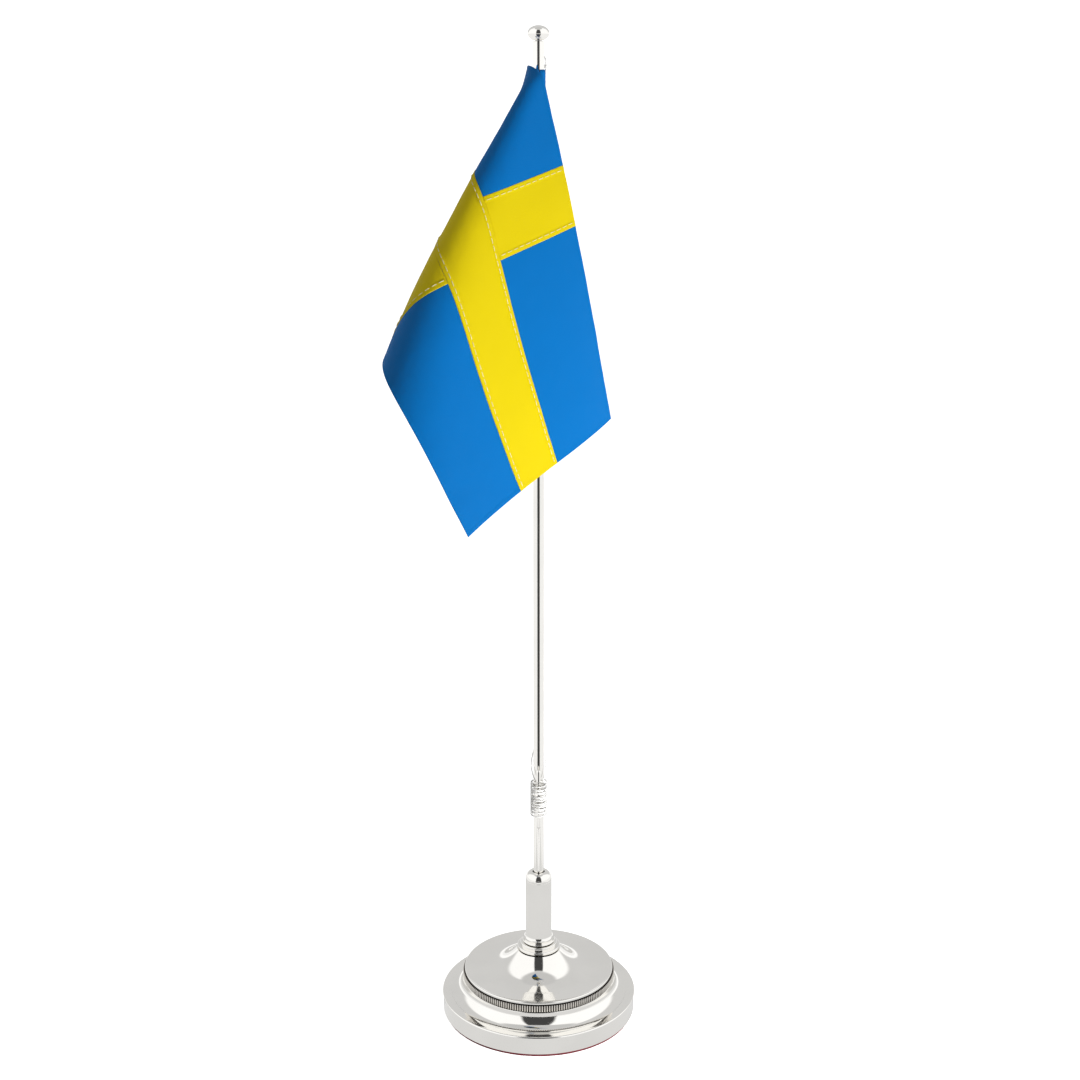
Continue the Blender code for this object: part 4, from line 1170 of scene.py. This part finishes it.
# %% [markdown]
# ### Stitches
#
# A lockstitch shows as short dashes with small gaps, the same on both faces. Each dash is a real bit of
# thread: it rises from the cloth, runs about two millimetres and dives back in.

# %% Sew the rows
THREAD_RADIUS = 0.00013
THREAD_SIDES = 6
STITCH_LENGTH = 0.0020
# Places along a dash, as shares of its length, and their height over the cloth in thread radii.
STITCH_BENDS = ((-0.5, -0.9), (-0.38, 0.55), (0.0, 0.8), (0.38, 0.55), (0.5, -0.9))


def thread_tube(work, points, radius):
    """Adds one short bent thread to a mesh."""
    rings = []
    for i, point in enumerate(points):
        heading = (points[min(i + 1, len(points) - 1)] - points[max(i - 1, 0)]).normalized()
        upright = heading.orthogonal().normalized()
        side = heading.cross(upright)
        ring = []
        for k in range(THREAD_SIDES):
            angle = 2 * math.pi / THREAD_SIDES * k
            ring.append(work.verts.new(point + (math.cos(angle) * upright + math.sin(angle) * side) * radius))
        rings.append(ring)
    skin_rings(work, rings)


def stitch_rows(name, rows_of_stitches, height):
    """Rows of dashes on both faces. Each row is (start, end), points of the flat flag."""
    work = bmesh.new()
    count = 0
    for start, end in rows_of_stitches:
        start, end = Vector(start), Vector(end)
        run = (end - start).length
        number = int(run / STITCH_PITCH)
        for n in range(number):
            middle = (n + 0.5) * run / number
            for side in (1, -1):
                points = []
                for bend, lift in STITCH_BENDS:
                    flat = start + (end - start) * ((middle + bend * STITCH_LENGTH) / run)
                    point, upright = hung(flat.x, flat.y)
                    lifted = crease(flat.x, flat.y) + side * (height + lift * THREAD_RADIUS)
                    points.append(point + upright * lifted)
                thread_tube(work, points, THREAD_RADIUS)
                count += 1
    print(name, "has", count, "stitches")
    return place_piece(name, made_mesh(name, work), thread_look, "flag", None)


FOLD_FACE = CLOTH / 2 + FOLD_RISE
inset = STITCH_INSET - 0.0003
columns = (HOIST_PANEL + inset, band_end - inset)
levels_down = (band_top + inset, band_bottom - inset)
row_places = {
    "yellow_upper": [((x, 0.001), (x, band_top - 0.0005)) for x in columns],
    "yellow_lower": [((x, band_bottom + 0.0005), (x, FLAG_HEIGHT - 0.001)) for x in columns],
    "yellow_long": [((0.0015, y), (FLAG_LENGTH - 0.001, y)) for y in levels_down],
}
stitches = {}
for name, rows in row_places.items():
    stitches[name] = stitch_rows("stitches_" + name, rows, FOLD_FACE)

# %% [markdown]
# ### The heading tape
#
# Down the hoist edge runs a narrow tape that lies round the mast. The cord side is tied with the two hitches,
# and the flag swings where it meets the tape.

# %% Make the heading tape
TAPE_HALF = 0.00017
TAPE_COLUMNS = 14
TAPE_ROWS = 60


def tape_mesh():
    work = bmesh.new()
    work.loops.layers.uv.new("flat")
    flat_place = {}
    grids = []
    for side in (1, -1):
        grid = []
        for j in range(TAPE_ROWS + 1):
            grid.append([])
            for i in range(TAPE_COLUMNS + 1):
                angle = TAPE_FROM + (TAPE_TO - TAPE_FROM) * i / TAPE_COLUMNS
                level = tape_low.z + (tape_high.z - tape_low.z) * j / TAPE_ROWS
                thin = 0.5 if i in (0, TAPE_COLUMNS) or j in (0, TAPE_ROWS) else 1.0
                reach = TAPE_MIDDLE + side * TAPE_HALF * thin
                corner = work.verts.new((reach * math.cos(angle), reach * math.sin(angle), level))
                flat_place[corner] = (TAPE_MIDDLE * angle * 100, level * 100)
                grid[-1].append(corner)
        grids.append(grid)
    return close_sheet("heading_tape", work, *grids, flat_place)


heading_tape = place_piece("heading_tape", tape_mesh(), blue_satin, "hoist", "hoist_tape")

# %% [markdown]
# ## What goes with each piece
#
# Each piece of the flag is a sheet of real cloth. For each, the script lists the stitches that go with it,
# and the heading tape goes with the upper hoist piece.

for name, (_node, along_range, below_range, _edges) in sheets.items():
    going_with = [stitches[name]] if name in stitches else []
    if name == "blue_hoist_upper":
        going_with.append(heading_tape)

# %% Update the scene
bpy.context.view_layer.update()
